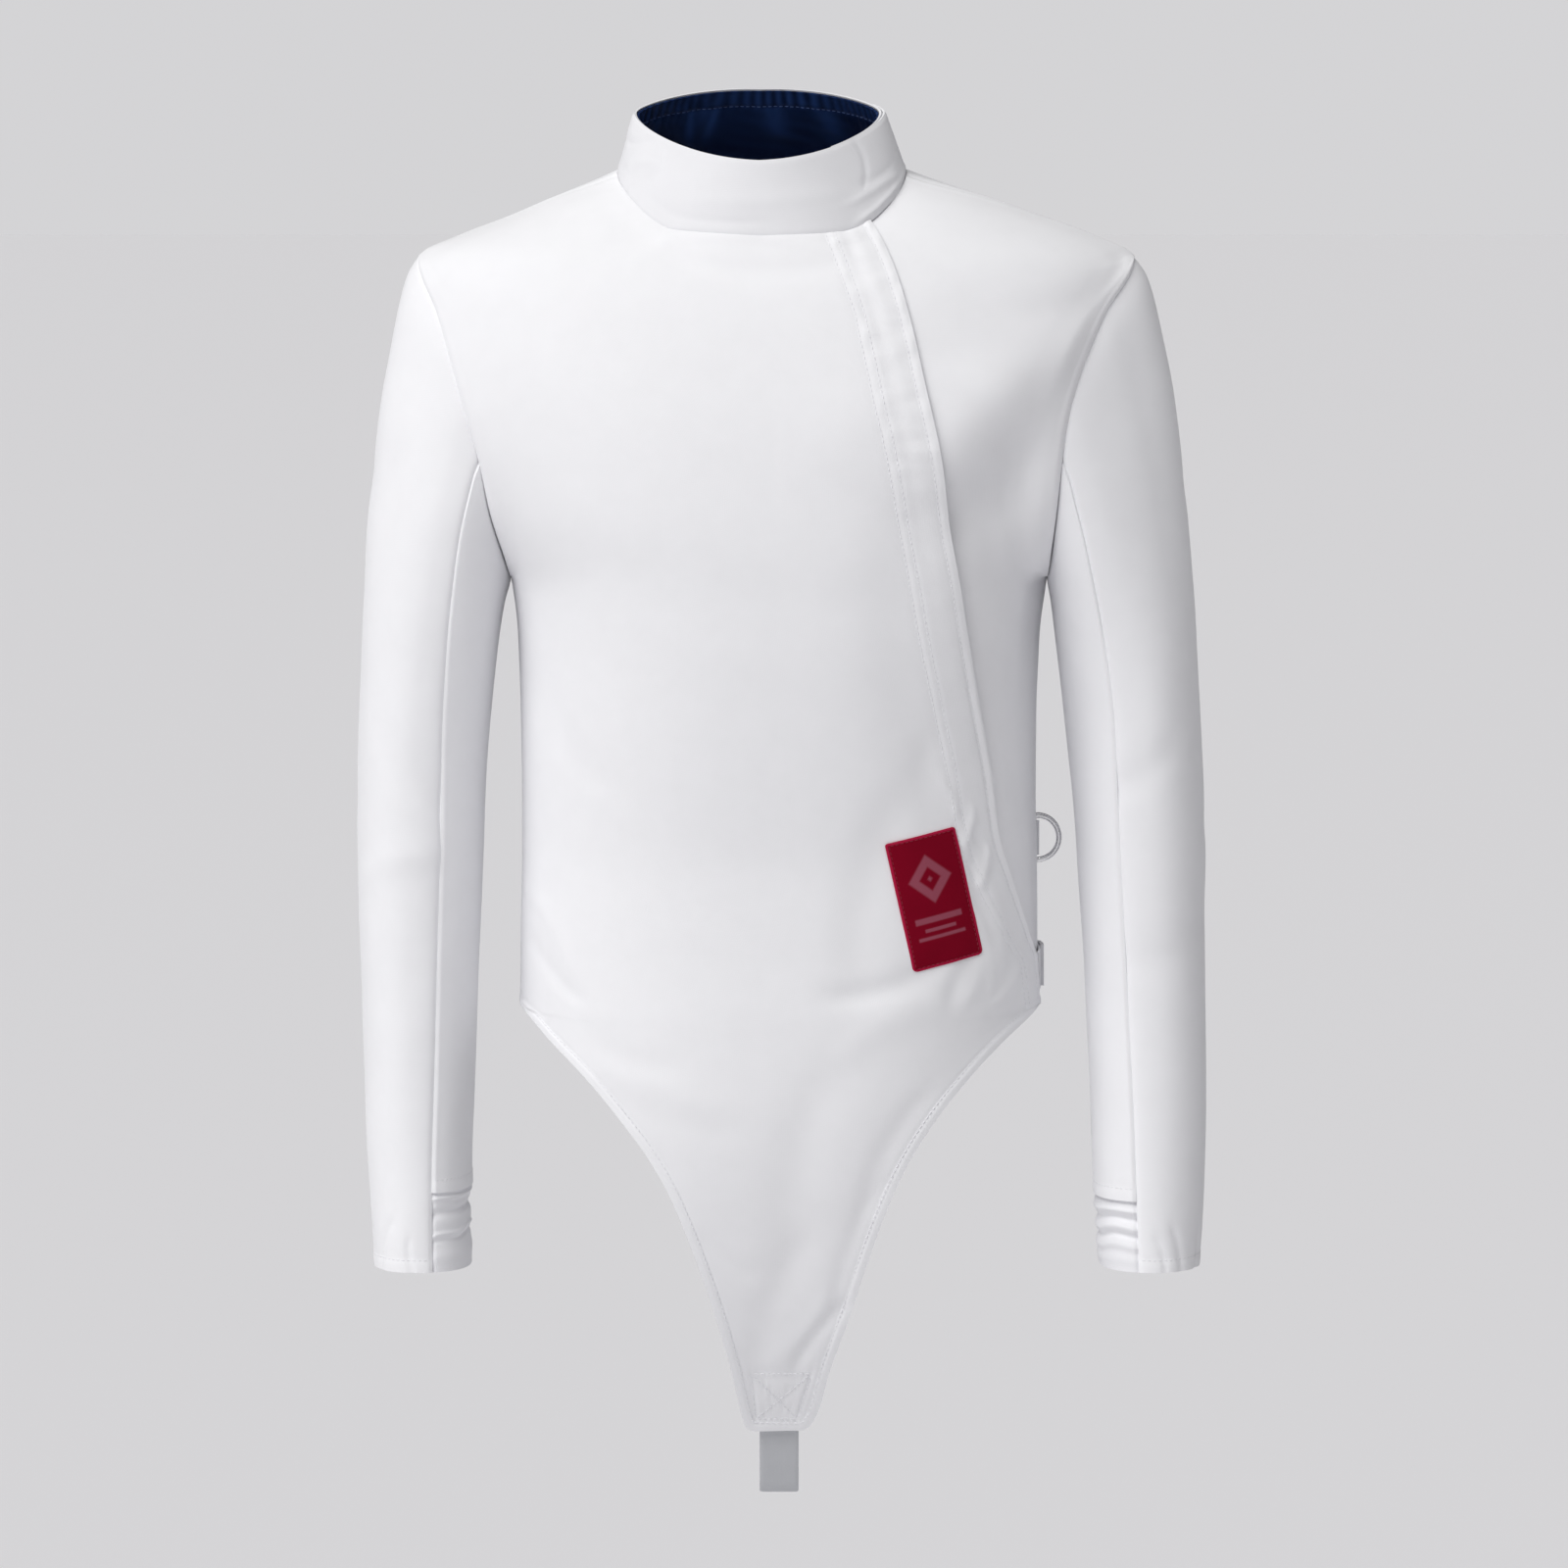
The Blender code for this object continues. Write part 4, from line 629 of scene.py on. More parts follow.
front_up = panel_rows(FRONT_ROWS, 0)
from_hip = np.abs(front_up - 1)
front_up = np.where(front_up < 1, 1 - from_hip ** TONGUE_ROW_POWER, front_up)
front_up = np.where((front_up > 1) & (front_up < 2), 1 + from_hip ** HIP_ROW_POWER, front_up)
front_up = np.sort(np.concatenate([TIP_ROWS, front_up]))
front_right = -leg_angle(front_up, RIGHT)
front_left = np.where(front_up < 1, leg_angle(front_up, LEFT), lap_angle(front_up))
_, row_length = arc_angles(front_up, front_left, front_right, np.zeros(1))
lap_side = np.concatenate([np.arange(0, 0.0362, 0.0011), [0.0385, 0.0415]])
seam_side = edge_spacing(0.010, 0.0012, 0.020)
left_share = np.minimum(1.0, 0.42 * row_length / lap_side[-1])[:, None]
right_share = np.minimum(1.0, 0.30 * row_length / seam_side[-1])[:, None]
between = np.linspace(0, 1, 106)[None, 1:-1]
from_left = lap_side[None] * left_share
from_right = row_length[:, None] - seam_side[None, ::-1] * right_share
middle_run = from_left[:, -1:] + (from_right[:, :1] - from_left[:, -1:]) * between
front_distance = np.concatenate([from_left, middle_run, from_right], axis=1)[:, ::-1]
front_angles, _ = arc_angles(front_up, front_left, front_right, front_distance)
grid_up = np.repeat(front_up[:, None], front_angles.shape[1], axis=1)
front_base = soft_body(grid_up, front_angles)
above_tip = np.clip(TIP_ROUND - (front_base[:, :1, 2] - TIP_HEIGHT), 0, TIP_ROUND)
corner_cut = TIP_ROUND - np.sqrt(TIP_ROUND ** 2 - above_tip ** 2)
tip_middle = (front_base[:, :1, 0] + front_base[:, -1:, 0]) / 2
tip_half = np.abs(front_base[:, -1:, 0] - front_base[:, :1, 0]) / 2
front_base[..., 0] = tip_middle + (front_base[..., 0] - tip_middle) * (1 - corner_cut / tip_half)
front_normals = grid_normals(front_base)

# The lap lies over the narrow panel, so the wide one steps out beside its edge.
above = np.maximum(front_up, 1.0)
lap_there = np.where(front_up < 1, front_left[front_up >= 1][0], front_left)
_, lap_to_seam = arc_angles(above, edge_angle(above), lap_there, np.zeros(1))
to_lap = front_distance
near_lap = 1 - ease((to_lap - LAP_FLAT) / (LAP_FADE - LAP_FLAT))
step_out = LAP_STEP * (1 - ease((to_lap + lap_to_seam[:, None]) / LAP_EASE)) * near_lap * (front_angles > 0)
step_out = step_out * ease((front_up - 0.4) / 0.6)[:, None]

leg_rows = front_up <= 1.0 + 1e-9
leg_edge_right = front_base[leg_rows, 0]
leg_edge_left = front_base[leg_rows, -1]
tip_edge = front_base[0]


def dense(path, step=0.0008):
    """The same path with its points a small step apart."""
    length = np.concatenate([[0], np.cumsum(np.linalg.norm(np.diff(path, axis=0), axis=1))])
    at = np.linspace(0, length[-1], int(length[-1] / step) + 2)
    return np.stack([np.interp(at, length, path[:, k]) for k in range(3)], axis=-1)


hem_loop = dense(np.concatenate([leg_edge_right[::-1], tip_edge[1:-1], leg_edge_left]))
hem_zone = front_base[..., 2] < HIP_HEIGHT + 0.03
to_hem = np.full(front_base.shape[:2], 1.0)
to_hem[hem_zone] = nearest(front_base[hem_zone], hem_loop)


def parallel_to_hem(distance, inset_ends):
    """Line inside the leg cut at a distance, worked out from the edge's own direction."""
    ahead = unit(np.gradient(hem_loop, axis=0))
    lean = section_normal(hem_loop)
    moved = hem_loop + unit(np.cross(lean, ahead)) * distance
    apart = nearest(moved, hem_loop)
    kept = (apart > distance * 0.97) & (moved[:, 2] < HIP_HEIGHT - inset_ends)
    return front_at(moved[kept, 0], moved[kept, 2])


hem_line = parallel_to_hem(HEM_STITCH, 0.002)

X_BOX = ((-0.0150, -0.7660), (0.0118, -0.7660), (0.0205, -0.7340), (-0.0180, -0.7340))


def x_box_line(ends):
    """Straight sewn line between two places of the strap's box."""
    (x0, z0), (x1, z1) = ends
    share = np.linspace(0, 1, 60)
    x, z = x0 + (x1 - x0) * share, z0 + (z1 - z0) * share
    return front_at(x, z)


box_ends = list(zip(X_BOX, X_BOX[1:] + X_BOX[:1])) + [(X_BOX[0], X_BOX[2]), (X_BOX[1], X_BOX[3])]
box_lines = [x_box_line(ends) for ends in box_ends]
all_box = np.concatenate(box_lines)

on_tip = front_base[..., 2] < -0.70
to_box = np.full(front_base.shape[:2], 1.0)
to_box[on_tip] = nearest(front_base[on_tip], all_box)
x, z = front_base[..., 0], front_base[..., 2]
lap_length = np.concatenate([[0], np.cumsum(np.linalg.norm(np.diff(front_base[:, -1], axis=0), axis=1))])[:, None]
pucker = (np.sin(lap_length * 2 * np.pi / 0.0135 + 1.5 * np.sin(lap_length * 41))
          + 0.7 * np.sin(lap_length * 2 * np.pi / 0.0078 + 2.0 * np.sin(lap_length * 67)))
on_lap = front_up[:, None] > 0.97
in_band = ease(to_lap / 0.003) * (1 - ease((to_lap - 0.028) / 0.006)) * on_lap
front_relief = creases(x, z, FRONT_CREASES) + creases(x, z, CHEST_CREASES) * (x > 0)
front_relief += 0.0010 * unevenness(x, z, 0.13, 7) * ease((front_distance[:, :1] - front_distance) / 0.03)
puckered = 0.35 + 1.2 * ease((z + 0.25) / 0.20)
blotches = unevenness(to_lap, lap_length, PUCKER_SIZE, 61)
front_relief += in_band * (0.00020 + PUCKER * pucker * puckered * (0.5 + 0.5 * blotches))
front_relief += in_band * BLOTCH * blotches * puckered
lap_low = on_lap * ease((-0.24 - z) / 0.08)
front_relief += LAP_RIM * bell(to_lap - 0.0016, 0.0018) * lap_low
front_relief -= LAP_RIM * 0.8 * bell(to_lap - EDGE_STITCH, 0.0016) * lap_low
front_relief -= 0.00030 * bell(to_lap - EDGE_STITCH, 0.0012) * on_lap
for spot in BAND_STITCHES:
    front_relief -= 0.00026 * bell(to_lap - spot, 0.0012) * on_lap
front_relief += 0.00010 * bell(to_lap - np.mean(BAND_STITCHES), 0.0022) * on_lap
front_relief += 0.00060 * (1 - ease((to_hem - HEM_STITCH) / 0.0015))
front_relief -= 0.00065 * bell(to_hem - HEM_STITCH, 0.0012)
front_relief -= 0.00080 * bell(to_box, 0.0013)
from_seam = front_distance[:, :1] - front_distance
above_hip = front_up[:, None] >= 1
front_relief -= 0.00060 * bell(from_seam, 0.0014) * above_hip
front_relief += 0.00030 * bell(from_seam - 0.0050, 0.0030) * above_hip
below_neck = nearest(front_base[-30:], dense(front_base[-1]))
front_relief[-30:] -= 0.0003 * bell(below_neck, 0.0016)
front_outer_grid = front_base + front_normals * (step_out + front_relief)[..., None]
front_inner_grid = front_base + front_normals * (step_out + front_relief * 0.8 - CLOTH * 0.9)[..., None]
front_panel = cloth_wall("front_panel", front_outer_grid, front_inner_grid, white_cloth)
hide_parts("front_outer", "front_placket")
fine_normals = grid_normals(front_outer_grid)


# Thread of the front: the lap's edge, the two lines beside its band, the leg cut's hem and
# the box with a cross that holds the strap, sewn through all the layers.
def shared_line(distance):
    """Path down the lap at a distance from its edge, read between the grid's columns."""
    rows = np.where(front_up >= 1.005)[0]
    spots = to_lap[rows, ::-1]
    places = np.array([np.interp(distance, spots[0], np.arange(spots.shape[1]))])[0]
    return line_on(front_outer_grid[rows, ::-1], fine_normals[rows, ::-1], places)


def lifted(path):
    """Path over the leg hem's surface with its directions, at the height of its relief."""
    lean = section_normal(path)
    return path + lean * 0.0001, lean


front_threads = [shared_line(d) for d in (EDGE_STITCH, *BAND_STITCHES)]
front_threads.append(lifted(hem_line))
front_threads += [lifted(line - section_normal(line) * 0.0008) for line in box_lines]
front_stitches = stitching("front_stitches", front_threads, white_thread)


# Narrow left front panel.
# The other half of the front: it runs on under the lap, and its seams join the left sleeve,
# the back and the collar.
UNDER_WIDTH = 0.034
UNDER_ROWS = (92, 58, 26)
UNDER_CREASES = (
    (0.128, -0.050, 0.160, -0.058, 0.0110, -0.0008),
    (0.120, -0.100, 0.160, -0.130, 0.0130, 0.0008),
    (0.125, -0.120, 0.165, -0.150, 0.0120, -0.0010),
    (0.140, -0.205, 0.160, -0.260, 0.0100, -0.0012),
    (0.150, -0.330, 0.158, -0.372, 0.0070, -0.0008),
    (0.155, -0.412, 0.160, -0.440, 0.0050, -0.0009),
)
# Low down the panel lies this much further in, so the lap's edge stands clear of it.
UNDER_DROP = 0.0013
UNDER_DROP_TOP = 0.26
# The panel falls in below the chest, deepest at once and then less and less.
UNDER_HOLLOW = (
    (0.100, -0.188, 0.190, -0.142, 0.0250, -0.0072),
    (0.100, -0.232, 0.190, -0.200, 0.0340, -0.0056),
    (0.110, -0.290, 0.180, -0.275, 0.0450, -0.0040),
)

under_up = panel_rows(UNDER_ROWS, 1)
under_lap = lap_angle(under_up)
under_seam = edge_angle(under_up)
under_angles, _ = arc_angles(under_up, under_lap, np.zeros_like(under_up), np.full((1, 1), UNDER_WIDTH))
under_start = under_angles[:, 0]
_, under_length = arc_angles(under_up, under_seam, under_start, np.zeros(1))
seam_part = edge_spacing(0.010, 0.0012, 0.020)
seam_run = seam_part[None] * np.minimum(1.0, 0.4 * under_length / seam_part[-1])[:, None]
rest = seam_run[:, -1:] + (under_length[:, None] - seam_run[:, -1:]) * np.linspace(0, 1, 46)[None, 1:]
under_distance = np.concatenate([seam_run, rest], axis=1)[:, ::-1]
under_angles, _ = arc_angles(under_up, under_seam, under_start, under_distance)
under_grid_up = np.repeat(under_up[:, None], under_angles.shape[1], axis=1)
under_base = soft_body(under_grid_up, under_angles)
under_normals = grid_normals(under_base)
under_step = -LAP_STEP * ease(under_distance / LAP_EASE) - 0.0004 * ease(under_distance / 0.02)
under_relief = creases(under_base[..., 0], under_base[..., 2], UNDER_CREASES)
under_relief += creases(under_base[..., 0], under_base[..., 2], CHEST_CREASES)
under_relief += creases(under_base[..., 0], under_base[..., 2], UNDER_HOLLOW) * ease(under_distance / 0.040)
under_relief *= ease((under_distance + 0.003) / 0.030)
under_relief += 0.0007 * unevenness(under_base[..., 1], under_base[..., 2], 0.11, 12) * ease(under_distance / 0.02)
under_relief -= 0.00060 * bell(under_distance, 0.0014)
under_relief += 0.00055 * bell(under_distance - 0.0050, 0.0026)
under_low = ease((-UNDER_DROP_TOP - under_base[..., 2]) / 0.06)
under_relief -= UNDER_DROP * under_low * ease(under_distance / 0.012)
under_outer = under_base + under_normals * (under_step + under_relief)[..., None]
under_inner = under_outer - under_normals * CLOTH * 0.9
under_panel = cloth_wall("front_under_panel", under_outer, under_inner, white_cloth)
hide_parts("front_under")


# Back panel.
# One cut piece from side seam to side seam, from the hem at the hip to the collar, with a
# turned and topstitched hem.
BACK_ROWS = (92, 62, 26)
BACK_HEM_STITCH = 0.0100
BACK_CREASES = (
    (-0.150, -0.235, -0.060, -0.270, 0.0150, -0.0016),
    (0.152, -0.228, 0.070, -0.262, 0.0140, -0.0014),
    (-0.110, -0.110, -0.030, -0.165, 0.0220, -0.0012),
    (0.120, -0.120, 0.045, -0.170, 0.0200, -0.0010),
    (-0.060, 0.008, 0.045, 0.010, 0.0060, -0.0010),
    (-0.080, -0.010, 0.060, -0.008, 0.0080, 0.0008),
    (-0.030, -0.330, 0.020, -0.430, 0.0200, -0.0016),
    (0.090, -0.380, 0.060, -0.470, 0.0130, -0.0016),
    (-0.120, -0.400, -0.095, -0.480, 0.0120, -0.0014),
    (0.128, -0.440, 0.150, -0.500, 0.0080, 0.0010),
    (-0.010, -0.470, 0.030, -0.512, 0.0090, -0.0012),
)

back_up = panel_rows(BACK_ROWS, 1)
back_swing = 90 - edge_angle(back_up)
back_start = np.where(back_up > 3, 90 - back_swing, 90 + back_swing)
dense_edge = 0.5 * (1 - np.cos(np.pi * np.linspace(0, 1, 126)))
back_share = 0.55 * dense_edge + 0.45 * np.linspace(0, 1, 126)
back_angles = back_start[:, None] + (360 - 2 * back_start)[:, None] * back_share[None]
back_grid_up = np.repeat(back_up[:, None], back_angles.shape[1], axis=1)
back_base = soft_body(back_grid_up, np.where(back_angles > 180, back_angles - 360, back_angles))
back_normals = grid_normals(back_base)
back_runs = np.concatenate([np.zeros((len(back_up), 1)),
                            np.cumsum(np.linalg.norm(np.diff(back_base, axis=1), axis=-1), axis=1)], axis=1)
to_side = np.minimum(back_runs, back_runs[:, -1:] - back_runs)
to_back_hem = np.linalg.norm(back_base - back_base[:1], axis=-1)
back_relief = creases(back_base[..., 0], back_base[..., 2], BACK_CREASES)
back_relief += 0.0011 * unevenness(back_base[..., 0], back_base[..., 2], 0.14, 23) * ease(to_side / 0.03)
back_relief -= 0.00060 * bell(to_side, 0.0018)
back_relief += 0.00040 * bell(to_side - 0.0055, 0.0032)
back_relief += 0.00050 * (1 - ease((to_back_hem - BACK_HEM_STITCH) / 0.002))
back_relief -= 0.00050 * bell(to_back_hem - BACK_HEM_STITCH, 0.0016)
back_neck = nearest(back_base[-30:], dense(back_base[-1]))
back_relief[-30:] -= 0.0004 * bell(back_neck, 0.0018)
back_outer = back_base + back_normals * back_relief[..., None]
back_inner = back_outer - back_normals * CLOTH * 0.9
back_panel = cloth_wall("back_panel", back_outer, back_inner, white_cloth)
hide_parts("back")

hem_share = np.interp(BACK_HEM_STITCH, np.linalg.norm(back_outer[:, 60] - back_outer[0, 60], axis=-1),
                      np.arange(len(back_up)))
hem_path, hem_lean = line_on(np.swapaxes(back_outer, 0, 1), np.swapaxes(grid_normals(back_outer), 0, 1), hem_share)
back_stitches = stitching("back_stitches", [(hem_path[1:-1], hem_lean[1:-1])], white_thread)


# Sleeves.
# Each is cut in two pieces, a top and an under sleeve, seamed down the front and the back.
# The top sleeve runs to the cuff; the under sleeve ends higher, over the elastic.
SLEEVE_COLUMNS = ("height", "outer_right", "outer_left", "inner_right", "inner_left")
SLEEVE = (
    (-0.6715, 0.2602, 0.2697, 0.1965, 0.2047),
    (-0.6426, 0.2619, 0.2720, 0.1972, 0.2028),
    (-0.6042, 0.2642, 0.2737, 0.1973, 0.2012),
    (-0.5645, 0.2660, 0.2745, 0.1960, 0.2000),
    (-0.4881, 0.2683, 0.2742, 0.1937, 0.1963),
    (-0.4130, 0.2706, 0.2738, 0.1903, 0.1915),
    (-0.3620, 0.2704, 0.2722, 0.1880, 0.1875),
    (-0.3110, 0.2692, 0.2700, 0.1840, 0.1823),
    (-0.2735, 0.2676, 0.2678, 0.1802, 0.1780),
    (-0.2485, 0.2662, 0.2662, 0.1764, 0.1747),
    (-0.2290, 0.2652, 0.2645, 0.1715, 0.1712),
    (-0.2115, 0.2643, 0.2631, 0.1700, 0.1700),
    (-0.1613, 0.2596, 0.2584, 0.1700, 0.1700),
    (-0.1113, 0.2537, 0.2519, 0.1700, 0.1700),
    (-0.0740, 0.2460, 0.2442, 0.1700, 0.1700),
    (-0.0490, 0.2402, 0.2384, 0.1700, 0.1700),
    (-0.0365, 0.2364, 0.2340, 0.1700, 0.1700),
    (-0.0255, 0.2300, 0.2265, 0.1700, 0.1700),
)
ARM_COLUMNS = ("along", "half_depth", "forward", "front_seam", "back_seam")
ARM = (
    (0.00, 0.0640, 0.000, 105.0, 255.0),
    (0.15, 0.0665, 0.000, 106.0, 253.0),
    (0.30, 0.0660, 0.001, 108.0, 251.0),
    (0.50, 0.0605, 0.006, 111.0, 250.0),
    (0.70, 0.0530, 0.014, 109.0, 250.0),
    (0.85, 0.0470, 0.022, 106.0, 250.0),
    (1.00, 0.0420, 0.030, 102.0, 250.0),
)
CUFF_HEIGHT = -0.6695
SLEEVE_POWER = 2.2
HEAD_BLEND = 0.35
UNDER_HEM = {RIGHT: -0.6185, LEFT: -0.6240}
ELASTIC_CLOTH = 0.0014
ELASTIC_SET_BACK = 0.0016
CUFF_STITCH = 0.0080
SEAM_TUCK = 0.0035
SEAM_SINK = 0.0012
# Creases of a sleeve: by turn in metres of girth and by height, then width and rise.
TOP_CREASES = {
    RIGHT: ((-0.060, -0.120, -0.010, -0.160, 0.0120, -0.0010), (0.050, -0.330, 0.085, -0.372, 0.0110, -0.0013),
            (-0.080, -0.350, -0.020, -0.372, 0.0110, -0.0015), (0.030, -0.415, 0.075, -0.402, 0.0100, 0.0009),
            (0.045, -0.640, 0.030, -0.667, 0.0035, -0.0009), (0.012, -0.646, 0.006, -0.668, 0.0035, -0.0008),
            (0.062, -0.652, 0.064, -0.668, 0.0030, -0.0009), (-0.030, -0.648, -0.036, -0.668, 0.0040, -0.0008)),
    LEFT: ((-0.055, -0.130, -0.012, -0.165, 0.0120, -0.0010), (0.055, -0.340, 0.085, -0.360, 0.0100, -0.0010),
           (-0.070, -0.360, -0.015, -0.385, 0.0120, -0.0015), (0.020, -0.450, 0.070, -0.470, 0.0140, -0.0009),
           (0.052, -0.645, 0.044, -0.668, 0.0035, -0.0010), (0.020, -0.650, 0.022, -0.668, 0.0035, -0.0011),
           (0.066, -0.650, 0.060, -0.668, 0.0030, -0.0008), (-0.035, -0.645, -0.030, -0.668, 0.0040, -0.0009)),
}


def armhole_place(turn):
    """Up and body angle of a place on the armhole; turn 0 is the shoulder tip, 90 the front."""
    turn = turn % 360
    folded = np.where(turn <= 180, turn, 360 - turn)
    swing = ARMHOLE_TURN * np.sin(np.radians(folded))
    return 3 - folded / 180, np.where(turn <= 180, 90 - swing, 90 + swing)


def sleeve_place(along, turn, side):
    """A super-ellipse tube whose sides are read by height, level at the cuff and tilted to the
    armhole at its head, where it is drawn onto the body's own edge."""
    along, turn = np.broadcast_arrays(np.asarray(along, dtype=float), np.asarray(turn, dtype=float))
    name = "left" if side > 0 else "right"

    def tube(at):
        middle = (SHOULDER_HEIGHT + ARMPIT_HEIGHT) / 2
        centre = middle + (CUFF_HEIGHT - middle) * at
        half = (SHOULDER_HEIGHT - middle) * (1 - at) ** 3
        outer = smooth(SLEEVE, SLEEVE_COLUMNS, "outer_" + name, centre + half)
        inner = smooth(SLEEVE, SLEEVE_COLUMNS, "inner_" + name, centre - half)
        depth = smooth(ARM, ARM_COLUMNS, "half_depth", at)
        forward = smooth(ARM, ARM_COLUMNS, "forward", at)
        x = (outer + inner) / 2 + (outer - inner) / 2 * power_cosine(turn, SLEEVE_POWER)
        y = -forward - depth * power_sine(turn, SLEEVE_POWER)
        return np.stack([side * x, y, centre + half * np.cos(np.radians(turn))], axis=-1)

    up, angle = armhole_place(turn)
    correction = body(up, side * angle) - tube(np.zeros_like(along))
    return tube(along) + correction * (1 - ease(along / HEAD_BLEND))[..., None]


def sleeve_edges(along, split):
    """First and last turn of a sleeve piece: from back seam to front seam over the top, or
    from front seam to back seam underneath."""
    front = smooth(ARM, ARM_COLUMNS, "front_seam", along)
    back = smooth(ARM, ARM_COLUMNS, "back_seam", along)
    return (back - 360, front) if split == "top" else (front, back)


def sleeve_grid(along, split, columns, side):
    """Grid of a sleeve piece, closer at its seams, with its directions and girth."""
    first, last = sleeve_edges(along, split)
    even = np.linspace(0, 1, columns)
    share = 0.5 * even + 0.25 * (1 - np.cos(np.pi * even))
    turn = first[:, None] + (last - first)[:, None] * share[None]
    grid_along = np.repeat(along[:, None], columns, axis=1)
    grid = sleeve_place(grid_along, turn, side)
    lean = unit(np.cross(np.gradient(grid, axis=1), np.gradient(grid, axis=0)) * side)
    run = np.concatenate([np.zeros((len(along), 1)),
                          np.cumsum(np.linalg.norm(np.diff(grid, axis=1), axis=-1), axis=1)], axis=1)
    return grid, lean, run, turn


def sleeve_wall(name, outer, lean, thick, side, material):
    """Wall of a sleeve piece, whose head is tucked under the cloth that it is sewn to; the
    left sleeve's columns are turned round to face outwards."""
    tucked = outer[:1] - unit(outer[2:3] - outer[:1]) * SEAM_TUCK - lean[:1] * SEAM_SINK
    outer = np.concatenate([tucked, outer])
    lean = np.concatenate([lean[:1], lean])
    inner = outer - lean * thick
    if side > 0:
        outer, inner = outer[:, ::-1], inner[:, ::-1]
    return cloth_wall(name, outer[::-1], inner[::-1], material)


sleeve_middle = (SHOULDER_HEIGHT + ARMPIT_HEIGHT) / 2
cuff_threads = []
for side, side_name in ((RIGHT, "right"), (LEFT, "left")):
    hem_at = (UNDER_HEM[side] - sleeve_middle) / (CUFF_HEIGHT - sleeve_middle)
    for split in ("top", "under"):
        end = 1.0 if split == "top" else hem_at
        even = np.linspace(0, 1, 230 if split == "top" else 190)
        along = end * (0.86 * even + 0.14 * even ** 2 * (3 - 2 * even))
        grid, lean, run, turn = sleeve_grid(along, split, 92 if split == "top" else 64, side)
        to_edge = np.minimum(run, run[:, -1:] - run)
        girth = turn / 180 * np.pi * 0.045
        to_head = np.linalg.norm(grid - grid[:1], axis=-1)
        to_cuff = np.linalg.norm(grid - grid[-1:], axis=-1)
        relief = 0.0007 * unevenness(girth, grid[..., 2], 0.10, 31 + int(side) + len(split)) * ease(to_edge / 0.02)
        if split == "top":
            relief = relief + creases(girth, grid[..., 2], TOP_CREASES[side])
            relief -= 0.00080 * bell(to_edge, 0.0016) + 0.00030 * bell(to_edge, 0.0040)
        else:
            relief += 0.00028 * bell(to_edge - 0.0022, 0.0018) - 0.00090 * bell(to_edge, 0.0012)
        relief -= 0.00040 * bell(to_head, 0.0020)
        relief += 0.00045 * (1 - ease((to_cuff - CUFF_STITCH) / 0.002))
        relief -= 0.00050 * bell(to_cuff - CUFF_STITCH, 0.0015)
        outer = grid + lean * relief[..., None]
        piece = sleeve_wall(f"{split}_sleeve_{side_name}_cloth", outer, lean, CLOTH * 0.9, side, white_cloth)
        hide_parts(f"{split}_sleeve_{side_name}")
        above = np.linalg.norm(outer - outer[-1:], axis=-1)[::-1, outer.shape[1] // 2]
        share = np.interp(CUFF_STITCH, above, np.arange(len(along)))
        path, out = line_on(np.swapaxes(outer[::-1], 0, 1), np.swapaxes(lean[::-1], 0, 1), share)
        cuff_threads.append((path[1:-1], out[1:-1]))
sleeve_stitches = stitching("sleeve_stitches", cuff_threads, white_thread)


# Cuff elastic.
# A strip of gathered elastic cloth set into the under side of each cuff below the under
# sleeve's hem; it draws into a few uneven folds across the wrist.
FOLDS = {
    RIGHT: ((0.07, 0.0012, 0.035), (0.25, -0.0016, 0.055), (0.40, 0.0004, 0.080), (0.52, 0.0009, 0.030),
            (0.60, -0.0008, 0.030), (0.80, 0.0007, 0.090)),
    LEFT: ((0.03, -0.0010, 0.030), (0.16, 0.0012, 0.045), (0.29, -0.0015, 0.045), (0.42, 0.0010, 0.050),
           (0.54, -0.0013, 0.045), (0.68, 0.0010, 0.060), (0.86, 0.0007, 0.080)),
}
elastic_cloth = woven("white_elastic_cloth", (0.83, 0.83, 0.86), 0.85, 0.0016, 0.0001, 0.1)
for side, side_name in ((RIGHT, "right"), (LEFT, "left")):
    hem_at = (UNDER_HEM[side] - sleeve_middle) / (CUFF_HEIGHT - sleeve_middle)
    down = np.linspace(0, 1, 84)
    along = hem_at + 0.0006 + (1 - hem_at - 0.0006) * down
    grid, lean, run, turn = sleeve_grid(along, "under", 70, side)
    sway = 0.05 * np.sin((turn - 100) / 28 + side) + 0.02 * np.sin((turn - 80) / 9 + 2 * side)
    level = down[:, None] + sway * np.sin(np.pi * down)[:, None]
    relief = sum(rise * bell(level - spot, width) for spot, rise, width in FOLDS[side])
    relief = relief + 0.0003 * unevenness(turn / 60, level * 2, 1.0, 5 + int(side))
    relief -= 0.0012 * bell(np.minimum(run, run[:, -1:] - run), 0.0016)
    outer = grid + lean * (relief - ELASTIC_SET_BACK + 0.0004)[..., None]
    piece = sleeve_wall(f"cuff_elastic_{side_name}_cloth", outer, lean, ELASTIC_CLOTH, side, elastic_cloth)
    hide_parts(f"cuff_elastic_{side_name}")


# Collar.
# A standing band of doubled white cloth that runs once round the neck and laps over itself at
# the front; its free tab ends at the wearer's left, where a hidden fastening holds it.
COLLAR_CLOTH = 0.0020
COLLAR_TOP_MIDDLE = -0.0124
COLLAR_TOP_HALF_WIDTH = 0.0802
COLLAR_TOP_FRONT = 0.065
COLLAR_TOP_BACK = 0.041
COLLAR_TOP_HEIGHT = 0.0641
COLLAR_TILT = 0.417
COLLAR_ROLL = 0.034
COLLAR_RIM_ROUND = 0.55
COLLAR_RIGHT_RISE = 0.0050
COLLAR_START = 36.0
COLLAR_END = 475.0
COLLAR_UNDER = COLLAR_CLOTH + SEAM_GAP
COLLAR_UNDER_FLAT = 125.0
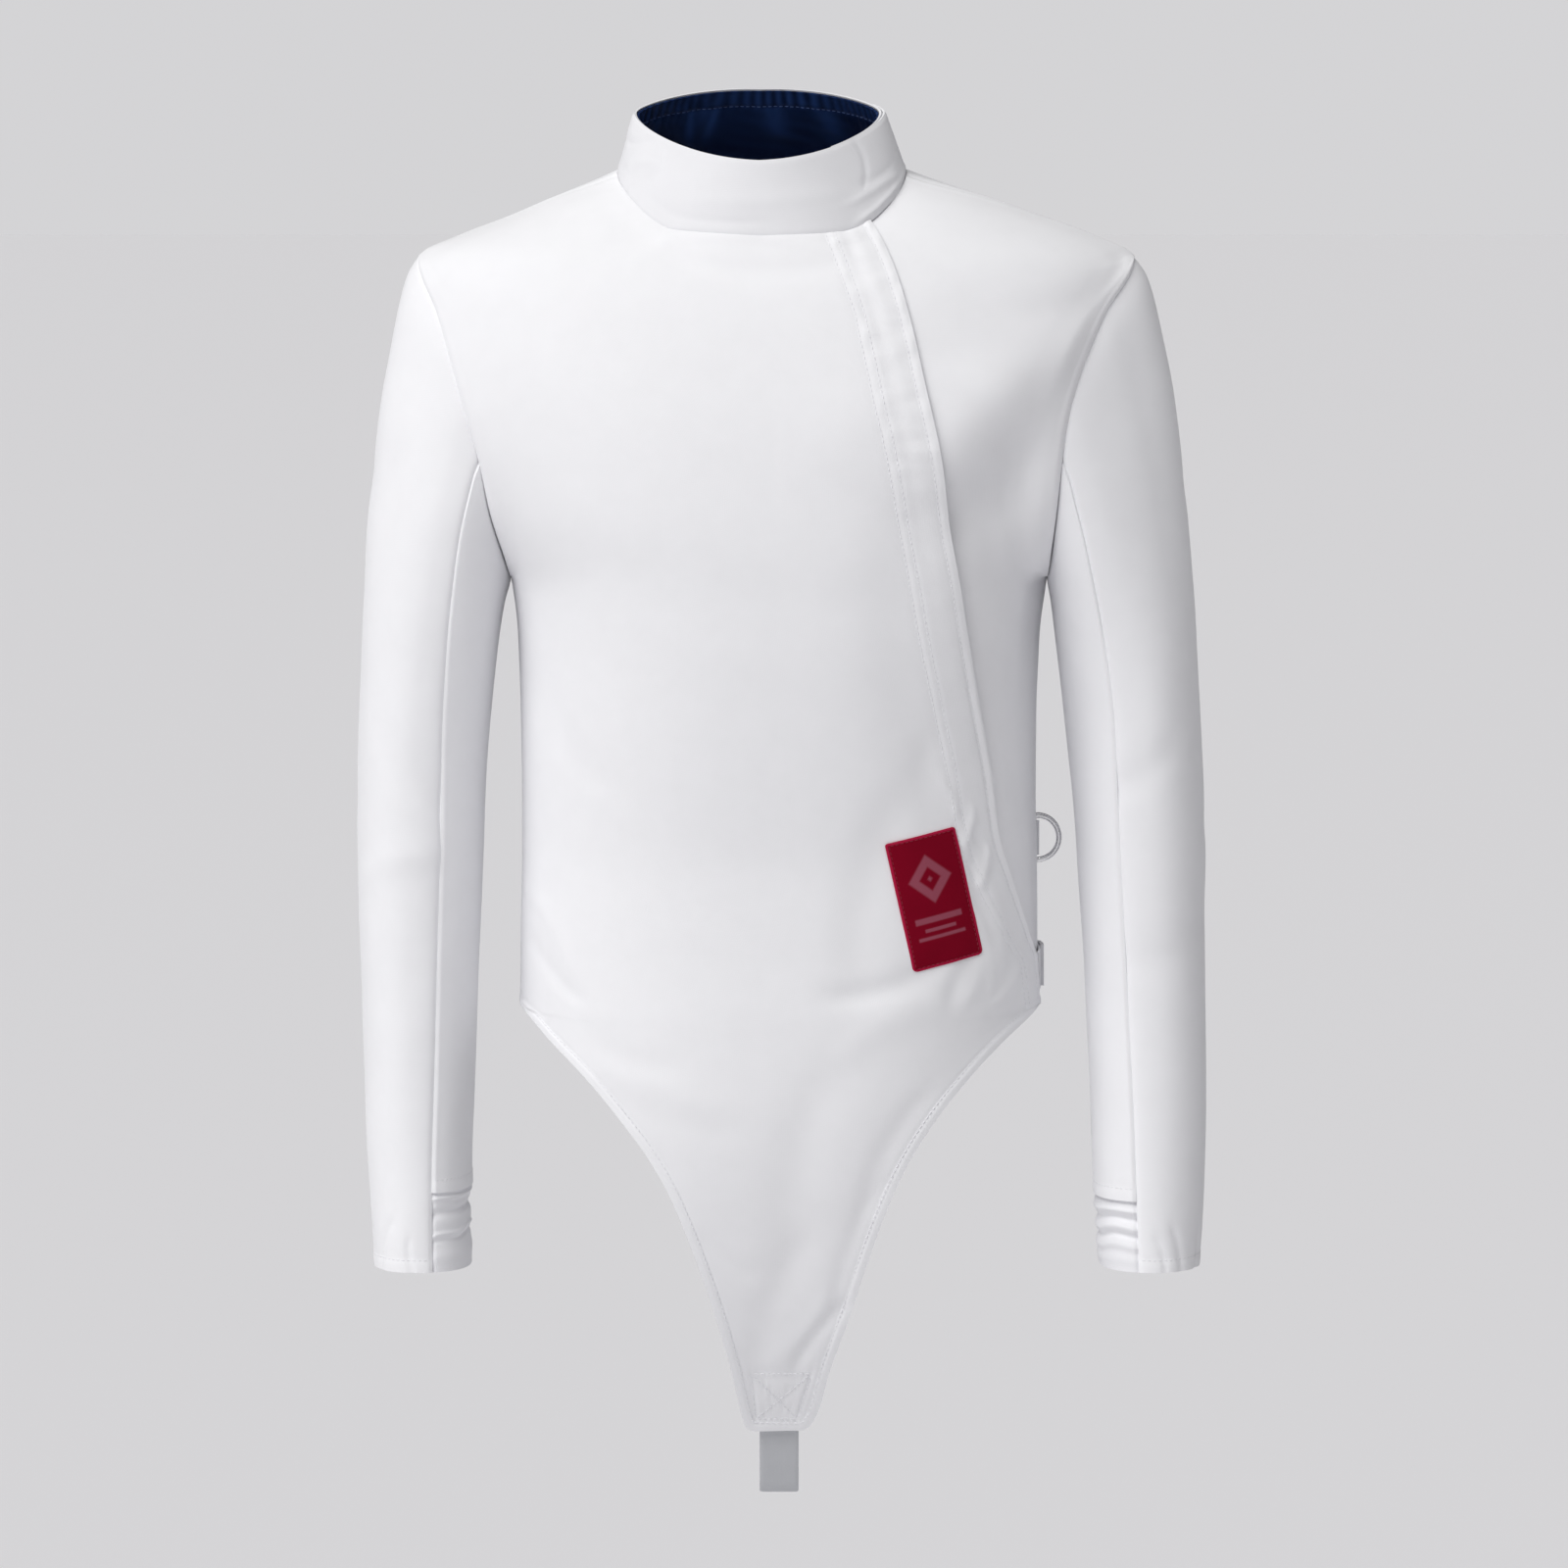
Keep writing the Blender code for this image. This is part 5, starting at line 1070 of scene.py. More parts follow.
COLLAR_UNDER_END = 172.0
TAB_COLUMNS = ("angle", "lift")
TAB = ((36, 0.0), (394, 0.0), (405, 0.0022), (413, 0.0065), (430, 0.0040), (450, 0.0018), (475, 0.0015))
TAB_SHARE = 0.05
TAB_TUCK = 0.55
# The collar is the same white cloth as the jacket, darkened here to paint the shade it stands in.
COLLAR_SHADED_WHITE = (0.785, 0.785, 0.812)
# Creases of the collar: by angle in hundredths of a turn's girth and by share of its height.
COLLAR_CREASES = (
    (4.080, 0.40, 4.085, 0.95, 0.020, -0.0005),
    (4.050, 0.29, 4.270, 0.21, 0.050, 0.0007),
    (4.080, 0.43, 4.220, 0.37, 0.050, -0.0004),
    (2.90, 0.34, 3.04, 0.60, 0.045, 0.0008),
    (2.84, 0.62, 3.00, 0.84, 0.045, -0.0008),
    (3.08, 0.40, 3.12, 0.90, 0.030, -0.0005),
    (3.20, 0.18, 3.50, 0.16, 0.060, -0.0005),
    (3.40, 0.40, 3.80, 0.46, 0.110, 0.0004),
    (1.40, 0.35, 1.90, 0.42, 0.110, -0.0006),
    (2.10, 0.55, 2.50, 0.50, 0.100, -0.0005),
)


def collar_place(angle, up):
    """Ruled surface from the neck seam, up 0, to the tilted oval of the top edge, up 1."""
    lift = TAB_SHARE * smooth(TAB, TAB_COLUMNS, "lift", angle)
    base = neckline(angle)
    sine, cosine = np.sin(np.radians(angle)), np.cos(np.radians(angle))
    depth = COLLAR_RIM_ROUND * cosine + (1 - COLLAR_RIM_ROUND) * cosine * np.abs(cosine)
    x = COLLAR_TOP_MIDDLE + COLLAR_TOP_HALF_WIDTH * sine
    y = -np.where(cosine >= 0, COLLAR_TOP_FRONT, COLLAR_TOP_BACK) * depth
    z = COLLAR_TOP_HEIGHT + COLLAR_TILT * y + COLLAR_ROLL * (x - COLLAR_TOP_MIDDLE)
    z = z + COLLAR_RIGHT_RISE * np.clip(-sine, 0, 1)
    top = np.stack([x, y, z], axis=-1)
    way = top - base
    length = np.linalg.norm(way, axis=-1)
    start = (SEAM_GAP + lift) / length
    return base + way * (start + (1 - start) * up)[..., None]


# Collar cloth in the darker white that paints its shade.
collar_shaded_cloth = woven("collar_painted_shade_white", COLLAR_SHADED_WHITE, 0.82, WEAVE_PITCH, 0.00006, 0.12)
collar_angle = np.linspace(COLLAR_START, COLLAR_END, 400)
collar_up = ease(np.linspace(0, 1, 40)) * 0.35 + np.linspace(0, 1, 40) * 0.65
grid_angle = np.repeat(collar_angle[None], len(collar_up), axis=0)
grid_height = np.repeat(collar_up[:, None], len(collar_angle), axis=1)
collar_base = collar_place(grid_angle, grid_height)
collar_lean = grid_normals(collar_base)
collar_flat_lean = unit(collar_lean * np.array([1.0, 1.0, 0.0]))
under_lap = COLLAR_UNDER * (1 - ease((collar_angle - COLLAR_UNDER_FLAT) / (COLLAR_UNDER_END - COLLAR_UNDER_FLAT)))
collar_tall = np.linalg.norm(collar_base[-1] - collar_base[0], axis=-1)
to_top = (1 - grid_height) * collar_tall[None]
to_foot = grid_height * collar_tall[None]
end_run = np.radians(COLLAR_END - grid_angle) * 0.085
on_tab = ease((grid_angle - 396) / 12)
collar_relief = creases(grid_angle / 100, grid_height, COLLAR_CREASES)
collar_relief += 0.0005 * unevenness(grid_angle / 100, grid_height, 0.6, 17)
collar_relief -= 0.0006 * bell(to_top, 0.0016) + 0.0006 * bell(end_run, 0.0020)
collar_relief -= 0.0003 * bell(to_foot, 0.0016) * (1 - on_tab) + 0.0005 * bell(to_foot, 0.0020) * on_tab
collar_relief += 0.0004 * bell(to_foot - 0.0025, 0.0022) * on_tab
collar_relief += 0.0006 * bell(to_foot - 0.003, 0.003) * ease((grid_angle - 396) / 8) * (1 - ease((grid_angle - 425) / 20))
collar_outer = collar_base - collar_flat_lean * under_lap[None, :, None] + collar_lean * collar_relief[..., None]
collar_inner = collar_outer - collar_lean * (COLLAR_CLOTH - 0.0002 + collar_relief[..., None] * 0.7)
tuck = unit(collar_base[1] - collar_base[0]) * SEAM_TUCK + collar_lean[0] * SEAM_SINK
tuck = tuck * (1 - (1 - TAB_TUCK) * on_tab[0])[:, None]
collar_outer[0] -= tuck
collar_inner[0] -= tuck
collar_piece = cloth_wall("collar_band", collar_outer, collar_inner, collar_shaded_cloth)
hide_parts("collar")


# Collar lining.
# Navy satin inside the collar, topstitched below the top edge, with a puckered band there,
# soft wrinkles across it and a facing behind the neck that goes on below the seam.
# The satin's colour carries painted light: painted highlight bands and painted shade, set per point further down.
LINING_CLOTH = 0.0008
LINING_START = 40.0
LINING_END = 389.0
LINING_FOOT = 0.10
LINING_HEAD = 0.985
FACING_START = 105.0
FACING_END = 255.0
FACING_EASE = 20.0
FACING_FOOT = -0.38
LINING_STITCH = 0.0105
LINING_CREASES = (
    (2.17, 0.80, 2.13, 0.30, 0.045, 0.0010),
    (2.02, 0.78, 2.06, 0.05, 0.040, 0.0010),
    (1.80, 0.75, 1.74, 0.40, 0.050, 0.0007),
    (1.54, 0.80, 1.50, 0.50, 0.060, 0.0008),
    (2.45, 0.78, 2.40, 0.35, 0.050, 0.0007),
    (3.10, 0.60, 3.30, 0.50, 0.060, -0.0007),
    (0.70, 0.55, 0.90, 0.60, 0.060, -0.0007),
)
# Painted highlight bands of the satin: angle at the top and at the foot, width and share of the painted sheen.
LINING_PAINTED_HIGHLIGHTS = (
    (2.14, 2.11, 0.028, 0.52),
    (1.98, 2.06, 0.024, 0.46),
    (2.05, 2.02, 0.050, 0.22),
    (1.76, 1.72, 0.050, 0.30),
    (1.50, 1.46, 0.070, 0.30),
    (2.36, 2.32, 0.030, 0.18),
    (3.30, 3.36, 0.060, 0.30),
    (0.85, 0.80, 0.060, 0.30),
)
# The two ends of the painted sheen: a dark navy for painted shade and a light navy for painted highlights.
SATIN_PAINTED_SHADE = (0.0012, 0.0045, 0.022)
SATIN_PAINTED_HIGHLIGHT = (0.022, 0.062, 0.220)

navy_satin, satin_shader = shader_of("navy_satin", SATIN_PAINTED_SHADE, 0.45)
satin_shader.inputs["Specular Tint"].default_value = (0.30, 0.45, 1.0, 1.0)
satin_shader.inputs["Specular IOR Level"].default_value = 0.35
# The base colour is mixed by the painted sheen attribute, so the satin's highlights and shade are painted into its
# colour.
painted_sheen_node = navy_satin.node_tree.nodes.new("ShaderNodeAttribute")
painted_sheen_node.attribute_name = "sheen"
painted_sheen_mix = navy_satin.node_tree.nodes.new("ShaderNodeMixRGB")
painted_sheen_mix.inputs["Color1"].default_value = (*SATIN_PAINTED_SHADE, 1.0)
painted_sheen_mix.inputs["Color2"].default_value = (*SATIN_PAINTED_HIGHLIGHT, 1.0)
navy_satin.node_tree.links.new(painted_sheen_node.outputs["Fac"], painted_sheen_mix.inputs["Fac"])
navy_satin.node_tree.links.new(painted_sheen_mix.outputs["Color"], satin_shader.inputs["Base Color"])
navy_thread, _ = shader_of("navy_thread", (0.070, 0.120, 0.300), 0.5)

lining_angle = np.linspace(LINING_START, LINING_END, 420)
lining_rows = np.linspace(0, 1, 64)
facing = ease((lining_angle - FACING_START) / FACING_EASE) * ease((FACING_END - lining_angle) / FACING_EASE)
lining_foot = LINING_FOOT + (FACING_FOOT - LINING_FOOT) * facing
lining_share = lining_foot + (LINING_HEAD - lining_foot) * lining_rows[:, None]
lining_grid_angle = np.repeat(lining_angle[None], len(lining_rows), axis=0)
low, high = collar_place(lining_angle, 0 * lining_angle), collar_place(lining_angle, 0 * lining_angle + 1)
lining_base = low[None] + (high - low)[None] * lining_share[..., None]
lining_lean = grid_normals(lining_base)
level_lean = unit(lining_lean * np.array([1.0, 1.0, 0.0]))
lining_under = COLLAR_UNDER * (1 - ease((lining_angle - COLLAR_UNDER_FLAT)
                                        / (COLLAR_UNDER_END - COLLAR_UNDER_FLAT)))
lining_base = lining_base - level_lean * lining_under[None, :, None] - lining_lean * (COLLAR_CLOTH + 2 * SEAM_GAP)
from_top = np.linalg.norm(high - low, axis=-1)[None] * (LINING_HEAD - lining_share)
girth = lining_grid_angle * 0.0011
gather = np.sin(girth * 2 * np.pi / 0.0062 + 1.8 * np.sin(girth * 130)) * (0.5 + 0.5 * np.sin(girth * 37 + 1) ** 2)
lining_relief = creases(lining_grid_angle / 100, lining_share, LINING_CREASES)
lining_relief += 0.00042 * gather * bell(from_top - 0.0065, 0.0045)
lining_relief += 0.00022 * gather * bell(from_top - 0.0145, 0.0040)
lining_relief += 0.0004 * (1 - ease((from_top - LINING_STITCH + 0.001) / 0.002))
lining_relief -= 0.0005 * bell(from_top - LINING_STITCH, 0.0010)
lining_relief += 0.0004 * unevenness(lining_grid_angle / 100, lining_share, 0.35, 44)
lining_over = lining_base - lining_lean * (LINING_CLOTH + 0.0004 + lining_relief)[..., None]
lining_piece = cloth_wall("collar_lining_cloth", lining_base, lining_over, navy_satin)
# Painted sheen per point: painted shade that darkens it towards the foot and round the wearer's left side, painted
# highlight bands along the folds, and painted light and shade on the gathers above the stitch.
painted_sheen = 0.20 * ease((lining_grid_angle / 100 - 1.3) / 0.9) * ease(lining_share / 0.9)
for top_angle, foot_angle, width, share in LINING_PAINTED_HIGHLIGHTS:
    band_middle = foot_angle + (top_angle - foot_angle) * lining_share
    painted_sheen += share * bell(lining_grid_angle / 100 - band_middle, width) * ease((lining_share - 0.15) / 0.45)
above_stitch = 1 - ease((from_top - LINING_STITCH) / 0.0015)
painted_sheen = painted_sheen * (1 - above_stitch) + (0.22 + 0.20 * gather) * above_stitch
# Stored as the attribute that paints the satin's highlights and shade.
place = lining_piece.data.attributes.new("sheen", "FLOAT", "POINT")
painted_sheen = np.clip(painted_sheen + 0.05 * unevenness(lining_grid_angle / 100, lining_share, 0.12, 45), 0, 1)
place.data.foreach_set("value", np.concatenate([painted_sheen.ravel(), painted_sheen.ravel()]))
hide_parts("collar_lining")
stitch_row = np.array([np.interp(-LINING_STITCH, -from_top[:, k], lining_over[:, k, j])
                       for k in range(len(lining_angle)) for j in range(3)]).reshape(-1, 3)
lining_stitches = stitching("lining_stitches", [(stitch_row[4:-4], -lining_lean[40, 4:-4])], navy_thread)


# Label.
# A woven red label sewn on beside the lap's band. Its plain design, a diamond over bars, is
# woven in a paler thread, and a line of red stitches runs round it.
LABEL_WIDTH = 0.045
LABEL_LENGTH = 0.084
LABEL_MIDDLE_X = 0.0975
LABEL_MIDDLE_HEIGHT = -0.4262
LABEL_TURN = math.radians(12.5)
LABEL_SEAT = 0.0004
LABEL_CLOTH = 0.0008
LABEL_RED = (0.200, 0.0012, 0.0130)
LABEL_PALE = (0.300, 0.070, 0.105)
LABEL_RIM = (0.400, 0.012, 0.050)
LABEL_CORNERS = (0.0035, 0.0016)
DIAMOND = (0.0145, 0.0165, 0.0140)
LABEL_BARS = ((-0.0115, 0.0150, 0.0021), (-0.0180, 0.0100, 0.0013), (-0.0230, 0.0150, 0.0013))

along, across = np.meshgrid(np.linspace(-0.5, 0.5, 180) * LABEL_LENGTH,
                            np.linspace(-0.5, 0.5, 100) * LABEL_WIDTH, indexing="ij")
corner = np.where(along < 0, *LABEL_CORNERS)
over_x = np.maximum(np.abs(across) - LABEL_WIDTH / 2 + corner, 0)
over_y = np.maximum(np.abs(along) - LABEL_LENGTH / 2 + corner, 0)
drawn = np.maximum(over_x, over_y) / np.maximum(np.hypot(over_x, over_y), 1e-9)
across = across + np.sign(across) * over_x * np.where(over_x > 0, drawn - 1, 0)
along = along + np.sign(along) * over_y * np.where(over_y > 0, drawn - 1, 0)
label_x = LABEL_MIDDLE_X + across * math.cos(LABEL_TURN) - along * math.sin(LABEL_TURN)
label_z = LABEL_MIDDLE_HEIGHT + across * math.sin(LABEL_TURN) + along * math.cos(LABEL_TURN)
label_base = front_at(label_x, label_z)
label_lean = section_normal(label_base)
rim = np.minimum(LABEL_WIDTH / 2 - np.abs(across), LABEL_LENGTH / 2 - np.abs(along))
label_relief = creases(label_base[..., 0], label_base[..., 2], FRONT_CREASES) * 0.8
label_relief += LABEL_CLOTH + LABEL_SEAT - 0.0003 * bell(rim, 0.0010) - 0.0002 * bell(rim - 0.0022, 0.0007)
label_relief += 0.0003 * unevenness(across, along, 0.05, 3)
diamond_at = np.abs(across) / DIAMOND[0] + np.abs(along - DIAMOND[2]) / DIAMOND[1]
pattern = np.clip((1.0 - diamond_at) * 9, 0, 1) * np.clip((diamond_at - 0.42) * 9, 0, 1)
pattern = np.maximum(pattern, np.clip((0.16 - diamond_at) * 9, 0, 1))
for middle, half, thick in LABEL_BARS:
    bar = np.clip((half - np.abs(across)) / 0.0004, 0, 1) * np.clip((thick - np.abs(along - middle)) / 0.0004, 0, 1)
    pattern = np.maximum(pattern, bar)


def label_cloth():
    """Red woven cloth with fine ribs, and the pattern's thread where the attribute says."""
    material = woven("label_cloth", LABEL_RED, 0.85, 0.0009, 0.0001, 0.0, 0.10)
    tree = material.node_tree
    shader = tree.nodes["Principled BSDF"]
    shader.inputs["Specular IOR Level"].default_value = 0.06
    for attribute, colour in (("pattern", LABEL_PALE), ("rim", LABEL_RIM)):
        where = tree.nodes.new("ShaderNodeAttribute")
        where.attribute_name = attribute
        mix = tree.nodes.new("ShaderNodeMixRGB")
        mix.inputs["Color2"].default_value = (*colour, 1.0)
        tree.links.new(where.outputs["Fac"], mix.inputs["Fac"])
        tree.links.new(shader.inputs["Base Color"].links[0].from_socket, mix.inputs["Color1"])
        tree.links.new(mix.outputs["Color"], shader.inputs["Base Color"])
    return material


label_over = label_base + label_lean * label_relief[..., None]
label_below = label_base + label_lean * (label_relief - LABEL_CLOTH)[..., None]
label_piece = cloth_wall("label_patch", label_over, label_below, label_cloth())
for attribute, share in (("pattern", pattern), ("rim", 1 - ease((rim - 0.0012) / 0.0005))):
    place = label_piece.data.attributes.new(attribute, "FLOAT", "POINT")
    place.data.foreach_set("value", np.concatenate([share.ravel(), share.ravel()]))
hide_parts("label")
red_thread, _ = shader_of("red_thread", (0.24, 0.010, 0.030), 0.55)
label_rows = (4, 175)
label_columns = (5, 94)
label_lines = [(label_over[4:176, c], label_lean[4:176, c]) for c in label_columns]
label_lines += [(label_over[r, 5:95], label_lean[r, 5:95]) for r in label_rows]
label_stitches = stitching("label_stitches", label_lines, red_thread, 0.0024, 0.0008, 0.00022)


# Crotch strap.
# Grey 25 mm elastic webbing, sewn behind the tongue's tip, turned under the crotch and sewn
# inside the back hem. It has fine ribs along it and a firm woven edge.
STRAP_WIDTH = 0.025
STRAP_CLOTH = 0.0015
STRAP_SEAT = 0.0014
STRAP_TOP = -0.7350
STRAP_BACK_TOP = -0.4800
STRAP_FREE = ((-0.0440, -0.8000), (-0.0365, -0.8150), (-0.0290, -0.8190), (-0.0200, -0.8130),
              (0.0050, -0.7770), (0.0450, -0.6980), (0.0800, -0.6120), (0.1000, -0.5500))


def webbing(name, colour, rough, ribs, depth):
    """Webbing with ribs along it and fine crossing picks, as a bump along the UV map."""
    material = woven(name, colour, rough, 0.0011, depth, 0.1, 0.05)
    waves = [n for n in material.node_tree.nodes if n.bl_idname == "ShaderNodeTexWave"]
    waves[0].inputs["Scale"].default_value = 0.314 / ribs
    return material


def tongue_back(height):
    """Place just behind the tongue's middle, where the strap lies, as depth and height."""
    up = 1 - ((height - HIP_HEIGHT) / (TIP_HEIGHT - HIP_HEIGHT)) ** (1 / TONGUE_CLOSING)
    place = body(up, 0.0 * up)
    slope = np.stack([0 * height, smooth(BODY, BODY_COLUMNS, "front_depth", height + 0.001)
                      - smooth(BODY, BODY_COLUMNS, "front_depth", height - 0.001)], axis=-1)[:, 1] / 0.002
    lean = unit(np.stack([-np.ones_like(slope), -slope], axis=-1))
    return place[..., 1:] - lean * (CLOTH + STRAP_SEAT + STRAP_CLOTH / 2)


def through(points, steps):
    """Smooth curve through points, each stretch a cubic of its four nearest, evenly spaced."""
    points = np.asarray(points, dtype=float)
    ends = np.concatenate([[2 * points[0] - points[1]], points, [2 * points[-1] - points[-2]]])
    u = np.linspace(0, 1, 12, endpoint=False)[:, None]
    curve = [0.5 * (2 * b + (c - a) * u + (2 * a - 5 * b + 4 * c - d) * u ** 2 + (3 * b - a - 3 * c + d) * u ** 3)
             for a, b, c, d in zip(ends, ends[1:], ends[2:], ends[3:])]
    curve = np.concatenate(curve + [points[-1:]])
    length = np.concatenate([[0], np.cumsum(np.linalg.norm(np.diff(curve, axis=0), axis=1))])
    at = np.linspace(0, length[-1], steps)
    return np.stack([np.interp(at, length, curve[:, k]) for k in range(points.shape[1])], axis=-1)


def ribbon_wall(name, path, across, width, cloth, material, columns, sway=0.0):
    """Webbing along a path: its width along one direction, with rounded selvedges."""
    side = unit(np.cross(np.gradient(path, axis=0), across))
    share = np.linspace(-1, 1, columns)
    edge = (share * width / 2)[None, :, None] * across
    round_edge = np.sqrt(np.clip(1 - np.abs(share) ** 10, 0.02, 1))[None, :, None]
    bend = sway * np.sin(np.linspace(0, 3, len(path)))[:, None, None] * (share ** 2)[None, :, None]
    over = path[:, None, :] + side[:, None, :] * (cloth / 2 * round_edge + bend) + edge
    below = path[:, None, :] - side[:, None, :] * (cloth / 2 * round_edge - bend) + edge
    return cloth_wall(name, over, below, material), side


grey_webbing = webbing("grey_elastic_webbing", (0.52, 0.53, 0.555), 0.72, 0.0024, 0.00016)
white_webbing = webbing("white_webbing", (0.82, 0.82, 0.85), 0.75, 0.0020, 0.00016)
strap_front = tongue_back(np.array([STRAP_TOP, -0.755, TIP_HEIGHT]))
strap_back_height = np.array([-0.515, STRAP_BACK_TOP])
strap_back_depth = smooth(BODY, BODY_COLUMNS, "back_depth", strap_back_height)
strap_behind = np.stack([strap_back_depth - (CLOTH + STRAP_SEAT + STRAP_CLOTH / 2), strap_back_height], axis=-1)
strap_path = through(np.concatenate([strap_front, np.array(STRAP_FREE), strap_behind]), 260)
strap_path = np.concatenate([np.zeros((len(strap_path), 1)), strap_path], axis=1)
strap_piece, _ = ribbon_wall("crotch_strap_webbing", strap_path, np.array([1.0, 0.0, 0.0]), STRAP_WIDTH,
                             STRAP_CLOTH, grey_webbing, 22)
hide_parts("crotch_strap")


# Hip tab and slider.
# A webbing tab with its adjusting slider closes the lap at the wearer's left hip; only the
# slider's edge stands past the outline in the front view.
for node in ("hip_tab", "d_ring_loop"):
    frame["nodes"][node].data.materials.clear()
    frame["nodes"][node].data.materials.append(white_webbing)


def moulded_plastic():
    """Pale matt plastic with a very fine grain."""
    material, shader = shader_of("slider_plastic", (0.66, 0.66, 0.69), 0.45)
    tree = material.node_tree
    place = tree.nodes.new("ShaderNodeTexCoord")
    grain = tree.nodes.new("ShaderNodeTexNoise")
    grain.inputs["Scale"].default_value = 900.0
    bump = tree.nodes.new("ShaderNodeBump")
    bump.inputs["Strength"].default_value = 0.15
    bump.inputs["Distance"].default_value = 0.0001
    tree.links.new(place.outputs["Object"], grain.inputs["Vector"])
    tree.links.new(grain.outputs["Fac"], bump.inputs["Height"])
    tree.links.new(bump.outputs["Normal"], shader.inputs["Normal"])
    return material


frame["nodes"]["hip_slider"].data.materials.clear()
frame["nodes"]["hip_slider"].data.materials.append(moulded_plastic())


# D-ring.
# Plated steel wire bent to a D, whose straight bar turns in a webbing loop on the back panel.
RING_WIRE = 0.0019
RING_HALF_HEIGHT = 0.0146
RING_DEPTH = 0.0162
RING_CORNER = 0.0020
RING_AXIS = np.array(frame["record"]["behaviour"]["joints"][0]["pos_m"])


def plated_steel():
    """Bright plated wire with faint wear in its gloss."""
    material, shader = shader_of("plated_steel", (0.86, 0.86, 0.87), 0.30)
    shader.inputs["Metallic"].default_value = 1.0
    tree = material.node_tree
    place = tree.nodes.new("ShaderNodeTexCoord")
    wear = tree.nodes.new("ShaderNodeTexNoise")
    wear.inputs["Scale"].default_value = 400.0
    ramp = tree.nodes.new("ShaderNodeMapRange")
    ramp.inputs["To Min"].default_value = 0.16
    ramp.inputs["To Max"].default_value = 0.34
    tree.links.new(place.outputs["Object"], wear.inputs["Vector"])
    tree.links.new(wear.outputs["Fac"], ramp.inputs["Value"])
    tree.links.new(ramp.outputs["Result"], shader.inputs["Roughness"])
    return material


bow = np.radians(np.linspace(6, 174, 90))
bow_path = np.stack([RING_DEPTH * np.sin(bow) ** 0.85, RING_HALF_HEIGHT * np.cos(bow)], axis=-1)
bar_z = np.linspace(-1, 1, 24) * (RING_HALF_HEIGHT - RING_CORNER)
ring_corner = np.array([[RING_CORNER * 0.3, -RING_HALF_HEIGHT + RING_CORNER * 0.3]])
ring_path = np.concatenate([bow_path, ring_corner, np.stack([0 * bar_z, bar_z], axis=-1),
                            ring_corner * np.array([[1, -1]])])
ring_ahead = unit(np.roll(ring_path, -1, axis=0) - np.roll(ring_path, 1, axis=0))
ring_side = np.stack([ring_ahead[:, 1], -ring_ahead[:, 0]], axis=-1)
turns = np.linspace(0, 2 * np.pi, 20, endpoint=False)
ring_points = np.zeros((len(ring_path), 20, 3))
ring_points[..., 0] = ring_path[:, None, 0] + RING_WIRE * np.cos(turns)[None] * ring_side[:, None, 0]
ring_points[..., 1] = RING_WIRE * np.sin(turns)[None]
ring_points[..., 2] = ring_path[:, None, 1] + RING_WIRE * np.cos(turns)[None] * ring_side[:, None, 1]
i, k = np.meshgrid(np.arange(len(ring_path)), np.arange(20), indexing="ij")
i_next, k_next = (i + 1) % len(ring_path), (k + 1) % 20
ring_faces = np.stack([i * 20 + k, i * 20 + k_next, i_next * 20 + k_next, i_next * 20 + k], axis=-1).reshape(-1, 4)
ring_flat = np.stack([k / 20, i / len(ring_path)], axis=-1).reshape(-1, 2)
ring_piece = cloth_mesh("d_ring_wire", (ring_points + RING_AXIS).reshape(-1, 3), ring_faces, ring_flat,
                        plated_steel(), "d_ring")
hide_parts("d_ring")


# Room.
# A plain pale floor well below the jacket, one wide soft sun from the upper left and a dim
# surround with a pale band at the horizon, with the camera where the photograph was taken.
FLOOR_HEIGHT = -1.60
CAMERA_TARGET = (0.00315, 0.0, -0.3637)
CAMERA_DISTANCE = 4.5
CAMERA_ELEVATION = math.radians(6.0)
METRES_PER_PIXEL = 0.00063
PHOTO_WIDTH = 1600
SENSOR = 36.0
KEY_STRENGTH = 2.85
KEY_SOFTNESS = 50.0
HORIZON_BAND = 0.11
HORIZON_GLOW = 0.67
SKY_GLOW = 0.10

floor_mesh = bpy.data.meshes.new("floor")
reach = 60.0
floor_mesh.from_pydata([(-reach, -reach, FLOOR_HEIGHT), (reach, -reach, FLOOR_HEIGHT),
                        (reach, reach, FLOOR_HEIGHT), (-reach, reach, FLOOR_HEIGHT)], [], [(0, 1, 2, 3)])
floor = bpy.data.objects.new("floor", floor_mesh)
floor_material, _ = shader_of("floor_paint", (0.82, 0.815, 0.84), 0.9)
floor_mesh.materials.append(floor_material)
bpy.context.scene.collection.objects.link(floor)


